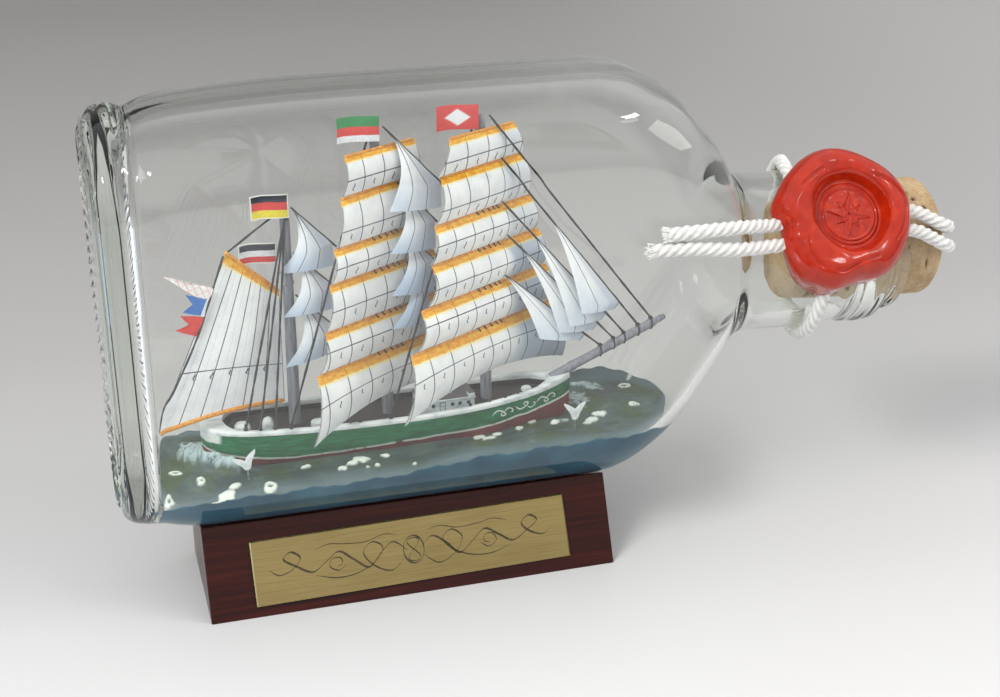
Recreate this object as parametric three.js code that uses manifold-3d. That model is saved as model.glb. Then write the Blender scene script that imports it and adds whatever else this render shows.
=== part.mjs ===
// Ship in a bottle: a three-masted barque under full sail, lying in a 200 ml hip flask on a wooden stand.
// Millimetres. +X runs along the bottle from its base to its mouth, +Y away from the front, +Z up.
// The origin is the centre of the stand's underside.
import * as THREE from 'three';
import { mergeVertices } from 'three/addons/utils/BufferGeometryUtils.js';
import Module from 'manifold-3d';

const wasm = await Module();
wasm.setup();

// ---------------------------------------------------------------- driving dimensions
const BOTTLE_LENGTH = 147;      // base to mouth
const BOTTLE_WIDTH = 77.6;      // the broad face, which stands upright
const BOTTLE_DEPTH = 36.6;      // front face to back face
const BODY_CORNER = 16;         // section corner radius
const WALL = 2.6;
const BASE_THICK = 4.2;
const NECK_R = 14.8;
const BORE_R = 11.9;
const MOUTH_BORE_R = 11.2;
const BASE_X = -50.65;          // bottle base
const MID_Y = 3.6;              // bottle and ship centre plane
const AXIS_Z = 52.9;            // bottle axis height
const STAND = { length: 75, depth: 26.5, height: 15.6, lean: 7.3 };
const PLATE = { length: 58.4, height: 11.6, thick: 0.5, up: 2.3 };
const CORD_R = 1.3;
const THREAD_R = 0.2;
const SHEET = 0.3;
const BRACE = THREE.MathUtils.degToRad(31);   // yards braced this far off the centreline
const GAP = 0.25;

const MOUTH_X = BASE_X + BOTTLE_LENGTH;
const HW = BOTTLE_WIDTH / 2, HD = BOTTLE_DEPTH / 2;

// ---------------------------------------------------------------- mesh helpers
const V = (x, y, z) => new THREE.Vector3(x, y, z);
const lerp = (a, b, t) => a + (b - a) * t;
const clamp = (x, a, b) => Math.min(b, Math.max(a, x));

// piecewise cubic (monotone enough for these tables)
function table(rows) {
  return x => {
    const n = rows.length;
    if (x <= rows[0][0]) return rows[0][1];
    if (x >= rows[n - 1][0]) return rows[n - 1][1];
    let i = 0; while (x > rows[i + 1][0]) i++;
    const [x0, y0] = rows[i], [x1, y1] = rows[i + 1];
    const s = k => k <= 0 || k >= n - 1 ? (k <= 0 ? (rows[1][1] - rows[0][1]) / (rows[1][0] - rows[0][0]) : (rows[n - 1][1] - rows[n - 2][1]) / (rows[n - 1][0] - rows[n - 2][0]))
      : (() => { const a = (rows[k][1] - rows[k - 1][1]) / (rows[k][0] - rows[k - 1][0]), b = (rows[k + 1][1] - rows[k][1]) / (rows[k + 1][0] - rows[k][0]); return a * b <= 0 ? 0 : 2 * a * b / (a + b); })();
    const h = x1 - x0, t = (x - x0) / h, m0 = s(i) * h, m1 = s(i + 1) * h;
    return (2 * t ** 3 - 3 * t ** 2 + 1) * y0 + (t ** 3 - 2 * t ** 2 + t) * m0 + (-2 * t ** 3 + 3 * t ** 2) * y1 + (t ** 3 - t ** 2) * m1;
  };
}

// a closed three.js geometry as a solid for the boolean cuts
function closed(g) {
  g.deleteAttribute('normal'); g.deleteAttribute('uv');
  g = mergeVertices(g, 1e-5);
  const tri = [...g.index.array].reduce((out, _, i, a) => { if (i % 3 === 0 && a[i] !== a[i + 1] && a[i + 1] !== a[i + 2] && a[i] !== a[i + 2]) out.push(a[i], a[i + 1], a[i + 2]); return out; }, []);
  const make = t => new wasm.Manifold(new wasm.Mesh({ numProp: 3, vertProperties: new Float32Array(g.attributes.position.array), triVerts: new Uint32Array(t) }));
  const s = make(tri);
  if (s.volume() >= 0) return s;
  const flipped = [];
  for (let i = 0; i < tri.length; i += 3) flipped.push(tri[i], tri[i + 2], tri[i + 1]);
  return make(flipped);
}
function solid(pos, tri) {
  const g = new THREE.BufferGeometry().setFromPoints(pos);
  g.setIndex(tri);
  return closed(g);
}

// rings of equal point count joined into one closed body, flat ends capped about their centres
function loft(rings) {
  const n = rings[0].length, pos = rings.flat(), tri = [];
  for (let i = 0; i + 1 < rings.length; i++) for (let j = 0; j < n; j++) {
    const a = i * n + j, b = i * n + (j + 1) % n, c = a + n, d = b + n;
    tri.push(a, b, d, a, d, c);
  }
  const cap = (k, flip) => {
    const c = rings[k].reduce((s, p) => s.add(p), V(0, 0, 0)).multiplyScalar(1 / n), ci = pos.push(c) - 1;
    for (let j = 0; j < n; j++) { const a = k * n + j, b = k * n + (j + 1) % n; flip ? tri.push(ci, b, a) : tri.push(ci, a, b); }
  };
  cap(0, true); cap(rings.length - 1, false);
  return solid(pos, tri);
}

// a thin closed sheet following surface P(u, v), u and v in 0..1
function sheet(P, nu, nv, thick = SHEET) {
  const pos = [], tri = [], w = nu + 1;
  const e = 1e-3;
  const side = s => { for (let j = 0; j <= nv; j++) for (let i = 0; i <= nu; i++) {
    const u = i / nu, v = j / nv, p = P(u, v);
    const du = P(Math.min(1, u + e), v).sub(P(Math.max(0, u - e), v)), dv = P(u, Math.min(1, v + e)).sub(P(u, Math.max(0, v - e)));
    pos.push(p.add(du.cross(dv).normalize().multiplyScalar(s * thick / 2)));
  } };
  side(1); side(-1);
  const N = w * (nv + 1);
  for (let j = 0; j < nv; j++) for (let i = 0; i < nu; i++) {
    const a = j * w + i, b = a + 1, c = a + w, d = c + 1;
    tri.push(a, b, d, a, d, c, N + a, N + d, N + b, N + a, N + c, N + d);
  }
  const rim = (a, b) => tri.push(a, N + a, N + b, a, N + b, b);
  for (let i = 0; i < nu; i++) { rim(i, i + 1); rim(nv * w + i + 1, nv * w + i); }
  for (let j = 0; j < nv; j++) { rim((j + 1) * w, j * w); rim(j * w + nu, (j + 1) * w + nu); }
  return solid(pos, tri);
}

// a round bar between two points, and a round tube along a curve
function rod(a, b, ra, rb = ra, sides = 12) {
  const d = b.clone().sub(a), g = new THREE.CylinderGeometry(rb, ra, d.length(), sides, 1);
  g.applyQuaternion(new THREE.Quaternion().setFromUnitVectors(V(0, 1, 0), d.clone().normalize()));
  const c = a.clone().lerp(b, 0.5);
  return closed(g.translate(c.x, c.y, c.z));
}
function circle(r, sides) {
  return new THREE.Shape([...Array(sides).keys()].map(k => new THREE.Vector2(r * Math.cos(2 * Math.PI * k / sides), r * Math.sin(2 * Math.PI * k / sides))));
}
function sweep(curve, r, steps, sides = 8) {
  return closed(new THREE.ExtrudeGeometry(circle(r, sides), { steps, curveSegments: 1, bevelEnabled: false, extrudePath: curve }));
}
const smooth = points => new THREE.CatmullRomCurve3(points, false, 'centripetal');
const box = (x0, x1, y0, y1, z0, z1) => closed(new THREE.BoxGeometry(x1 - x0, y1 - y0, z1 - z0).translate((x0 + x1) / 2, (y0 + y1) / 2, (z0 + z1) / 2));

// ---------------------------------------------------------------- assembly
const ship = new THREE.Group();
ship.name = 'ship_in_bottle';
function put(name, body, color, opts = {}) {
  body = body.decompose().sort((p, q) => q.volume() - p.volume())[0];   // drops boolean slivers
  const m = body.getMesh(), g = new THREE.BufferGeometry();
  g.setAttribute('position', new THREE.BufferAttribute(new Float32Array(m.vertProperties), 3));
  g.setIndex(new THREE.BufferAttribute(new Uint32Array(m.triVerts), 1));
  g.computeVertexNormals();
  const mesh = new THREE.Mesh(g, new THREE.MeshStandardMaterial({ color, roughness: 0.6, ...opts }));
  mesh.name = name;
  ship.add(mesh);
  return body;
}

// ---------------------------------------------------------------- bottle
// towards the base the narrow sides draw in a little, the upper one more than the lower
const drawTop = table([[BASE_X, 2.9], [-48.5, 2.7], [-46, 2.2], [-44.8, 2.5], [-43.5, 3.2], [-42, 2.4], [-39.5, 1.65], [-36.8, 1.2], [-33.9, 0.95], [-28.3, 0.55], [-18, 0.1], [-10, 0]]);
const drawBottom = table([[BASE_X, 2.3], [-48.7, 2.1], [-46, 1.5], [-44, 1.15], [-42, 0.8], [-37.5, 0.1], [-34, 0]]);
const drawFace = table([[BASE_X, 0.9], [-46, 0.6], [-43.5, 1.1], [-42, 0.6], [-36, 0.25], [-28, 0]]);
// the upper shoulder is fuller than the lower one
const lift = table([[38, 0], [46, 0.7], [54, 1.7], [58, 2.1], [60.3, 2.0], [62, 1.1], [64, 0.6], [68, 0.2], [72, 0]]);
const sink = x => (drawBottom(x) - drawTop(x)) / 2 + lift(x);
const shoulderW = table([[BASE_X, HW], [36, HW], [41, 37.9], [46.4, 35.3], [50, 32.7], [54, 28.0], [57.2, 24.1], [59, 21.6], [60.4, 19.2], [62, 16.5], [64, 15.4], [67, NECK_R], [110, NECK_R]]);
const halfW = x => shoulderW(x) - (drawTop(x) + drawBottom(x)) / 2;
const shoulderD = table([[BASE_X, HD], [38, HD], [48, 17.9], [56, 16.8], [61, 15.7], [64, 15.0], [67, NECK_R], [110, NECK_R]]);
const halfD = x => shoulderD(x) - drawFace(x);
const QUARTER = 7;
function section(x, hw, hd, r, dz = sink(x)) {
  const out = []; r = Math.min(r, hw, hd);
  for (let q = 0; q < 4; q++) for (let k = 0; k < QUARTER; k++) {
    const a = (q + k / (QUARTER - 1)) * Math.PI / 2, sy = q === 0 || q === 3 ? 1 : -1, sz = q < 2 ? 1 : -1;
    out.push(V(x, MID_Y + sy * (hd - r + 0.02) + r * Math.cos(a), AXIS_Z + dz + sz * (hw - r + 0.02) + r * Math.sin(a)));
  }
  return out;
}
const at = x => section(x, halfW(x), halfD(x), lerp(BODY_CORNER, NECK_R, clamp((x - 50) / 14, 0, 1)));
const BW = halfW(BASE_X), BD = halfD(BASE_X);
const outer = loft([
  section(BASE_X + 1.2, BW - 8.6, BD - 8.6, 9), section(BASE_X, BW - 6.2, BD - 6.2, 11.5), section(BASE_X, BW - 3.4, BD - 3.4, 14),
  section(BASE_X + 0.9, BW - 1.2, BD - 1.2, 15.4), at(BASE_X + 3),
  ...[-46, -44.8, -43.5, -42, -39.5, -36, -31, -24, -10, 36, 40, 43.5, 46.4, 49.2, 51.7, 54.5, 57.2, 59, 60.6, 62, 64, 66.5].map(at),
  ...[[72, NECK_R], [81.5, NECK_R], [84, 14.5], [86, 14.55], [87.6, 15.05], [90.8, 15.1], [92, 14.5], [93.2, 13.2], [94, 12.9], [94.7, 13.4], [95.7, 13.4], [MOUTH_X, 12.5]].map(([x, r]) => section(x, r, r, r)),
]);
const inside = inset => {
  const s = x => section(x, halfW(x) - WALL - inset, halfD(x) - WALL - inset, lerp(BODY_CORNER - WALL, BORE_R, clamp((x - 50) / 14, 0, 1)));
  const x0 = BASE_X + BASE_THICK + inset;
  return [section(x0, halfW(x0) - WALL - 3.4 - inset, halfD(x0) - WALL - 3.4 - inset, 10.4), section(x0 + 0.9, halfW(x0) - WALL - 1.2 - inset, halfD(x0) - WALL - 1.2 - inset, 12.2), s(x0 + 3), ...[-39.5, -36, -31, -24, -10, 36, 40, 43.5, 46.4, 49.2, 51.7, 54.5, 57.2, 59, 60.6].map(s),
    section(62.4, BORE_R + 1.4 - inset, BORE_R + 0.9 - inset, BORE_R), section(65, BORE_R - inset, BORE_R - inset, BORE_R)];
};
const cavity = loft([...inside(0), section(86, BORE_R, BORE_R, BORE_R), section(89, MOUTH_BORE_R, MOUTH_BORE_R, MOUTH_BORE_R), section(MOUTH_X + 5, MOUTH_BORE_R, MOUTH_BORE_R, MOUTH_BORE_R)]);
put('bottle_glass', outer.subtract(cavity), 0xcfdccf, { transparent: true, opacity: 0.35, roughness: 0.05 });

// tapered cork, driven into the mouth
const corkRing = (x, r) => section(x, r, r, r);
put('cork_stopper', loft([corkRing(73.6, 8.6), corkRing(74.5, 9.4), corkRing(MOUTH_X, 10.92), corkRing(102.4, 11.2), corkRing(103.4, 10.7), corkRing(104, 9.7)]), 0xc9a577, { roughness: 0.9 });

// ---------------------------------------------------------------- stand and plate
const { length: SL, depth: SD, height: SH, lean: SN } = STAND;
const prism = pts => { const h = SL / 2; return loft([pts.map(([y, z]) => V(-h, y, z)), pts.map(([y, z]) => V(h, y, z))]); };
const foot = -SD / 2, top = foot + SN;
const faceDir = V(0, SN, SH).normalize(), faceOut = V(0, -SH, SN).normalize();
const groove = loft([-60, 60].map(x => section(x, HW + 0.3, HD + 0.3, BODY_CORNER + 0.3, 0)));
put('stand_block', prism([[foot, 0], [SD / 2, 0], [SD / 2, SH], [top, SH]]).subtract(groove), 0x2a0a08, { roughness: 0.25 });
{
  const { length: L, height: H, thick: T, up } = PLATE;
  const at3 = (u, v, w) => V(u, foot, 0).addScaledVector(faceDir, v).addScaledVector(faceOut, w);
  const c = (u, v) => [at3(u, v, 0.12), at3(u, v, 0.12 + T)];
  const x0 = -29.4, r = 0.7 * Math.PI / 180, mid = [x0 + L / 2, up + H / 2];
  const turn = (u, v) => [mid[0] + (u - mid[0]) * Math.cos(r) - (v - mid[1]) * Math.sin(r), mid[1] + (u - mid[0]) * Math.sin(r) + (v - mid[1]) * Math.cos(r)];
  const q = [[x0, up], [x0 + L, up], [x0 + L, up + H], [x0, up + H]].map(([u, v]) => c(...turn(u, v)));
  put('brass_plate', loft([q.map(p => p[0]), q.map(p => p[1])]), 0xc7a94f, { metalness: 1, roughness: 0.35 });
}

// ---------------------------------------------------------------- hull
const hullBeam = table([[-35.4, 0.6], [-34.6, 2.6], [-32.5, 4.4], [-28, 5.7], [-18, 6.5], [0, 6.7], [14, 6.3], [23, 4.9], [29, 2.9], [32.4, 1.1], [33.4, 0.35]]);
const sheer = x => 30.05 + 1.0 * clamp(-x / 35, 0, 1) ** 2 + 1.9 * clamp(x / 33, 0, 1) ** 2;
const HULL_X = [-35.4, -34.9, -34, -32, -28, -22, -12, 0, 10, 18, 24, 28.5, 31.5, 33.4];
function hullRing(x, grow = 0, zTop = null, zBot = 22.2) {
  const b = hullBeam(x) + grow, t = (x + 35.4) / 68.8, zt = zTop ?? sheer(x);
  const stern = clamp((x + 35.4) / 8, 0, 1), low = lerp(27.6, zBot, Math.sqrt(stern)) + 3.2 * clamp((x - 26) / 7.4, 0, 1) ** 2;
  const zs = [zt, lerp(zt, low, 0.35), lerp(zt, low, 0.68), lerp(zt, low, 0.92)];
  const f = [1, 0.97, 0.84 - 0.18 * clamp((x - 14) / 18, 0, 1), 0.5];
  const side = s => zs.map((z, i) => V(x, MID_Y + s * b * f[i], z));
  return [...side(-1), V(x, MID_Y, low - grow), ...side(1).reverse()];
}
const hullBody = loft(HULL_X.map(x => hullRing(x)));
const wellBeam = (x, inset) => Math.max(0.2, hullBeam(x) - inset);
function outlineBlock(x0, x1, inset, z0, z1, n = 12) {
  const xs = [...Array(n + 1).keys()].map(i => lerp(x0, x1, (1 - Math.cos(Math.PI * i / n)) / 2));
  const end = x => clamp(Math.min((x - x0) / 2.2, (x1 - x) / 3), 0, 1) ** 0.5;
  return loft(xs.map(x => { const w = Math.max(0.25, wellBeam(x, inset) * end(x)); return [V(x, MID_Y - w, z0(x)), V(x, MID_Y + w, z0(x)), V(x, MID_Y + w, z1(x)), V(x, MID_Y - w, z1(x))]; }));
}
const WELL = [-31.6, 29.4];
const deckZ = x => sheer(x) - 1.35;
const well = outlineBlock(WELL[0], WELL[1], 1.0, x => deckZ(x), x => sheer(x) + 3);
const sprit = [V(29.8, MID_Y, 32.35), V(50.2, MID_Y, 41.35)];
const spritDir = sprit[1].clone().sub(sprit[0]).normalize();
const spritTube = grow => rod(sprit[0].clone().addScaledVector(spritDir, -grow), sprit[1], 0.85 + grow);
put('hull', hullBody.subtract(well), 0x1f6b48, { roughness: 0.45 });
// white bulwark cap all round, solid over the poop and the forecastle
const railHeight = 0.85, capLow = x => sheer(x) + 0.06, capTop = x => sheer(x) + 0.06 + railHeight + 0.35 * clamp(x / 33, 0, 1) ** 2;
const capOuter = loft(HULL_X.map(x => { const b = hullBeam(x) + 0.12; return [V(x, MID_Y - b, capLow(x)), V(x, MID_Y + b, capLow(x)), V(x, MID_Y + b, capTop(x)), V(x, MID_Y - b, capTop(x))]; }));
put('bulwark_cap', capOuter.subtract(outlineBlock(WELL[0], WELL[1], 1.0, x => sheer(x) - 3, x => sheer(x) + 5)).subtract(spritTube(0.15)), 0xf1efe9, { roughness: 0.5 });
const mast = {
  fore: { base: [17.25, 28.2], head: [16.35, 83.6], r0: 1.08, r1: 0.85 },
  main: { base: [-1.35, 28.2], head: [-2.35, 83.4], r0: 1.08, r1: 0.85 },
  mizzen: { base: [-18.5, 28.2], head: [-18.35, 70.6], r0: 1.12, r1: 0.85 },
};
const mastX = (m, z) => lerp(m.base[0], m.head[0], (z - m.base[1]) / (m.head[1] - m.base[1]));
const mastTube = (m, grow = 0, z0 = null) => { const a = z0 ?? m.base[1]; return rod(V(mastX(m, a), MID_Y, a), V(m.head[0], MID_Y, m.head[1]), m.r0 + grow, m.r1 + grow); };
let deck = outlineBlock(WELL[0] + 0.2, WELL[1] - 0.2, 1.15, x => deckZ(x) + 0.08, x => deckZ(x) + 0.55);
const mastSeat = Object.values(mast).map(m => deckZ(m.base[0]) + 0.7);
put('deck', deck, 0x3a2a22, { roughness: 0.7 });
Object.entries(mast).forEach(([k, m], i) => { m.base = [mastX(m, mastSeat[i]), mastSeat[i]]; put(`mast_${k}`, mastTube(m), 0x8f8b97, { roughness: 0.7 }); });
put('bowsprit', spritTube(0).subtract(hullBody.add(box(20, 29.9, -20, 20, 20, 50))).add(rod(sprit[1].clone().addScaledVector(spritDir, -0.3), sprit[1].clone().addScaledVector(spritDir, 2.2), 0.62, 0.62, 10)), 0x8f8b97, { roughness: 0.7 });

// deck fittings
const seat = x => deckZ(x) + 0.62;
function house(name, x0, x1, hw, h, color, dy = 0) {
  const z0 = Math.max(seat(x0), seat(x1)) + 0.02;
  put(name, box(x0, x1, MID_Y + dy - hw, MID_Y + dy + hw, z0, z0 + h), color, { roughness: 0.6 });
}
house('deckhouse', 3.6, 14.2, 2.9, 2.35, 0xdfe7ee, -0.6);
function lump(name, x, y, rx, ry, h, color) {
  const z0 = seat(x) + 0.05, rings = [0, 0.55, 0.86, 1].map((t, i) => { const s = [1, 0.92, 0.66, 0.3][i], o = []; for (let k = 0; k < 12; k++) { const a = k * Math.PI / 6; o.push(V(x + rx * s * Math.cos(a), y + ry * s * Math.sin(a), z0 + h * t)); } return o; });
  put(name, loft(rings), color, { roughness: 0.6 });
}
lump('skylight_aft', -28.2, MID_Y - 1.6, 1.6, 1.4, 1.7, 0xe9e6df);
lump('skylight_mid', -23.6, MID_Y - 1.4, 1.15, 1.2, 2.1, 0xe9e6df);
lump('hatch_waist', -14.6, MID_Y - 1.8, 1.5, 1.3, 1.0, 0xe2ddd3);
lump('hatch_bow', 25.0, MID_Y - 0.2, 1.2, 0.9, 1.2, 0xf1efe9);

// ---------------------------------------------------------------- square sails
// head half-width, head height, foot half-width, foot height, belly, foot arch
const FORE = [
  ['fore_royal', 81.0, 7.6, 75.15, 10.4, 0.75, 0], ['fore_upper_topgallant', 74.7, 10.9, 67.15, 12.4, 1.45, 0], ['fore_lower_topgallant', 66.7, 12.8, 60.25, 14.2, 1.45, 0],
  ['fore_upper_topsail', 59.8, 14.6, 52.75, 15.9, 1.5, 0], ['fore_lower_topsail', 52.25, 16.3, 45.2, 17.4, 1.5, 0], ['fore_course', 44.7, 18.0, 32.3, 20.2, 1.7, 3.6],
];
const MAIN = [
  ['main_royal', 79.3, 8.0, 72.75, 8.9, 0.95, 0], ['main_upper_topgallant', 72.3, 9.0, 64.35, 10.5, 1.05, 0], ['main_lower_topgallant', 63.9, 10.8, 58.35, 11.9, 1.0, 0],
  ['main_upper_topsail', 57.9, 12.0, 50.05, 13.3, 1.1, 0], ['main_lower_topsail', 49.6, 13.5, 42.75, 15.2, 1.15, 0], ['main_course', 42.3, 15.6, 30.2, 17.3, 1.5, 3.8, 0.6],
];
const STAND_OFF = 1.25;
const sb = Math.sin(BRACE), cb = Math.cos(BRACE);
// how far each sail reaches to the near and the far side, as a share of its half width
const REACH = { fore_royal: [1.15, 0.95], fore_upper_topgallant: [1.03, 0.86], fore_lower_topgallant: [1.02, 0.88], fore_upper_topsail: [0.96, 0.92], fore_lower_topsail: [1.04, 0.95], fore_course: [1.1, 1],
  main_upper_topgallant: [1.05, 1], main_lower_topgallant: [1.07, 1], main_upper_topsail: [1.09, 1], main_lower_topsail: [1.09, 1], main_course: [1.1, 1] };
function squareSail(m, [name, zh, hh, zf, hf, belly, arch, tilt = 0]) {
  const P = (u, v) => {
    const k = 2 * u - 1, s = k * lerp(hh, hf, v) * (REACH[name] ?? [1, 1])[k < 0 ? 0 : 1], z = lerp(zh, zf + arch * (1 - k * k) + tilt * k, v), b = STAND_OFF + belly * Math.sin(Math.PI * Math.min(v, 1)) ** 0.9;
    return V(mastX(m, z) + s * cb + b * sb, MID_Y + s * sb - b * cb, z);
  };
  const body = sheet(P, arch ? 8 : 2, arch ? 7 : 6).add(rod(P(0, 0), P(1, 0), 0.27, 0.27, 6));
  put(`sail_${name}`, body, 0xf2f3f6, { roughness: 0.85 });
}
FORE.forEach(r => squareSail(mast.fore, r));
MAIN.forEach(r => squareSail(mast.main, r));

// ---------------------------------------------------------------- fore-and-aft sails
// corners: head, tack end of the stay, lower fore corner, clew; the stay thread runs on past the sail
function stayed(name, stay, luff0, luff1, low, clew, belly, hollow, n = 5) {
  const P = (u, v) => {
    // u: leech (0) to luff (1); v: head (0) to foot (1)
    const L = luff0.clone().lerp(clew, v);
    const chord = clew.clone().sub(luff0).normalize(), side = V(-chord.z, 0, chord.x);
    L.addScaledVector(side, hollow * Math.sin(Math.PI * v));
    const cut = luff1.clone().sub(luff0).length() / (luff1.clone().sub(luff0).length() + low.clone().sub(luff1).length());
    const R = v < cut ? luff0.clone().lerp(luff1, v / cut) : luff1.clone().lerp(low, (v - cut) / (1 - cut));
    const p = L.lerp(R, u);
    p.y -= belly * Math.sin(Math.PI * u) * Math.sin(Math.PI * clamp(0.12 + 0.88 * v, 0, 1) * 0.75);
    return p;
  };
  const Q = (u, v) => P(u, 0.03 + 0.97 * v);
  put(name, sheet(Q, n, 6).add(rod(stay[0], stay[1], THREAD_R, THREAD_R, 5)), 0xc9d3e4, { roughness: 0.85 });
}
const Y = (x, z, dy = 0) => V(x, MID_Y + dy, z);
// mizzen staysails, set on stays running down forward from the mizzen
const sLine = (x, z0) => z0 - 1.01 * (x + 17.2);
[[69.9, -20.4, 58.9, 59.0, -1.75], [61.9, -20.0, 51.1, 51.2, -2.6], [54.1, -20.2, 41.8, 42.2, -3.1]].forEach(([z0, cx, cz, lz, dy], i) => {
  const x1 = -10.4, luff1 = Y(x1, sLine(x1, z0)), end = mastX(mast.main, z0 - 14) - 1.45;
  stayed(`staysail_mizzen_${i + 1}`, [Y(-17.15, sLine(-17.15, z0)), Y(end, sLine(end, z0))], Y(-16.6, sLine(-16.6, z0)), luff1, Y(x1 + 0.2, i === 2 ? 43.0 : lz, -0.4), Y(cx, cz, dy), 0.9, 2.1);
});
const tLine = (x, z0) => z0 - 1.09 * (x + 1.0);
[[83.0, 68.9, 67.9], [75.4, 61.2, 60.4], [67.6, 53.4, 52.6], [62.2, 47.2, 46.6]].forEach(([z0, cz, lz], i) => {
  const x0 = [1.3, 2.3, 2.9, 3.4][i], x1 = [9.2, 8.0, 7.6, 6.6][i], s0 = [-0.75, 1.5, 2.1, 2.6][i], end = 15.55;
  stayed(`staysail_main_${i + 1}`, [Y(s0, tLine(s0, z0)), Y(end, tLine(end, z0))], Y(x0, tLine(x0, z0)), Y(x1, tLine(x1, z0)), Y(x1 - 0.1, lz, -0.6), Y(-0.9, cz, -3.7), 0.8, 1.7);
});
// head sails from the fore mast down to the bowsprit
const onSprit = x => V(x, MID_Y, sprit[0].z + (x - sprit[0].x) * spritDir.z / spritDir.x + 1.15);
const HEAD = [
  ['jib_flying', [20.3, 75.4], 46.9, 0.37, 0.86, [34.6, 45.8, -3.4]],
  ['jib_outer', [20.4, 67.6], 44.1, 0.27, 0.85, [32.5, 43.4, -2.9]],
  ['jib_inner', [21.4, 61.2], 42.0, 0.155, 0.852, [30.6, 42.2, -2.3]],
  ['fore_topmast_staysail', [21.0, 53.6], 39.4, 0.02, 0.84, [26.9, 41.4, -2.3]],
];
HEAD.forEach(([name, a, bx, t0, t1, c]) => {
  const A = Y(a[0], a[1]), B = onSprit(bx), h = A.clone().lerp(B, t0), k = A.clone().lerp(B, t1);
  stayed(name, [A, B], h, k, k.clone().add(V(-1.2, -0.3, -1.0)), Y(c[0], c[1], c[2]), 0.45, 0.5);
});
put('stay_fore_topmast', rod(Y(18.1, 83.3), onSprit(49.4), THREAD_R, THREAD_R, 5), 0x151515);

// spanker between gaff and boom, boom sheeted out to starboard
{
  const throat = V(-20.1, MID_Y - 0.5, 55.3), peak = V(-29.0, MID_Y - 3.0, 64.0), tack = V(-20.3, MID_Y - 0.6, 34.6), end = V(-43.3, MID_Y - 5.6, 33.2);
  const P = (u, v) => {
    const a = peak.clone().lerp(throat, u), b = end.clone().lerp(tack, u), rise = 0.9 * Math.sin(Math.PI * u);
    const p = a.lerp(b, v); p.z += rise * v; p.y -= 1.1 * Math.sin(Math.PI * u) * Math.sin(Math.PI * v); return p;
  };
  put('spanker', sheet(P, 6, 6).add(rod(P(0, 0), P(1, 0), 0.36, 0.36, 6)).add(sweep(smooth([0, 0.25, 0.5, 0.75, 1].map(u => P(u, 1))), 0.46, 4, 6)), 0xf2f3f6, { roughness: 0.85 });
}

// ---------------------------------------------------------------- flags and signal hoist
function flag(name, x0, x1, z0, z1, dy, color) {
  const P = (u, v) => V(lerp(x0, x1, u), MID_Y + dy + 0.25 * Math.sin(2 * Math.PI * u), lerp(z1, z0, v) + 0.2 * Math.sin(Math.PI * u));
  put(name, sheet(P, 6, 1, 0.28), color, { roughness: 0.8 });
}
flag('flag_mizzen_top', -24.3, -17.9, 68.9, 72.8, -2.1, 0x2b2b2b);
flag('flag_gaff', -26.5, -20.0, 60.2, 63.8, 0.6, 0xd8342c);
flag('flag_main_top', -8.9, -1.7, 80.6, 84.9, -1.45, 0x1f8a4c);
flag('flag_fore_top', 8.3, 15.7, 81.4, 85.6, -1.45, 0xd42a24);
{
  const y = MID_Y - 4.9, P3 = (x, z) => V(x, y, z);
  const flat = pts => loft([pts.map(p => p.clone().add(V(0, -0.14, 0))), pts.map(p => p.clone().add(V(0, 0.14, 0)))]);
  const halyard = sweep(smooth([V(-29.6, MID_Y - 4.0, 63.9), V(-31.8, MID_Y - 4.8, 58.4), V(-35.0, MID_Y - 4.95, 50.1), V(-43.6, MID_Y - 6.5, 34.1)]), THREAD_R, 8, 5);
  const streamer = flat([P3(-39.7, 61.6), P3(-31.7, 58.7), P3(-32.6, 55.9)]);
  const swallow = (tip1, notch, tip2, lo, hi) => flat([tip1, notch, P3(lo[0], lo[1]), P3(hi[0], hi[1])]).add(flat([tip2, P3(lo[0], lo[1]), notch]));
  const two = swallow(P3(-36.4, 58.1), P3(-35.3, 56.2), P3(-37.1, 55.0), [-33.5, 53.7], [-32.3, 56.3]);
  const three = swallow(P3(-37.6, 54.4), P3(-36.2, 52.6), P3(-38.5, 51.8), [-34.9, 50.2], [-33.4, 53.6]);
  put('signal_hoist', halyard.add(streamer).add(two).add(three), 0xe9e4e0, { roughness: 0.8 });
}

// ---------------------------------------------------------------- standing rigging down to the starboard rail
const rail = x => V(x, MID_Y - hullBeam(x) + 0.55, capTop(x) + 0.28);
const lines = L => L.map(([a, b]) => rod(a, b, THREAD_R, THREAD_R, 5)).reduce((s, t) => s.add(t));
const mz = V(-18.4, MID_Y - 1.45, 69.4), knot = (c, r = 0.42) => closed(new THREE.SphereGeometry(r, 8, 6).translate(c.x, c.y, c.z));
put('shrouds_mizzen', lines([[mz, rail(-28)], [mz, rail(-25.5)], [mz, rail(-22.9)]]).add(knot(mz)), 0x151515);
const mm = V(-3.55, MID_Y - 0.6, 79.9);
put('backstay_main', lines([[mm.clone().add(V(0, 0, 1.2)), rail(-20.2)]]), 0x151515);
const fm = V(15.1, MID_Y - 0.6, 82.4);
put('backstay_fore', lines([[fm, rail(-2.2)]]), 0x151515);

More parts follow.
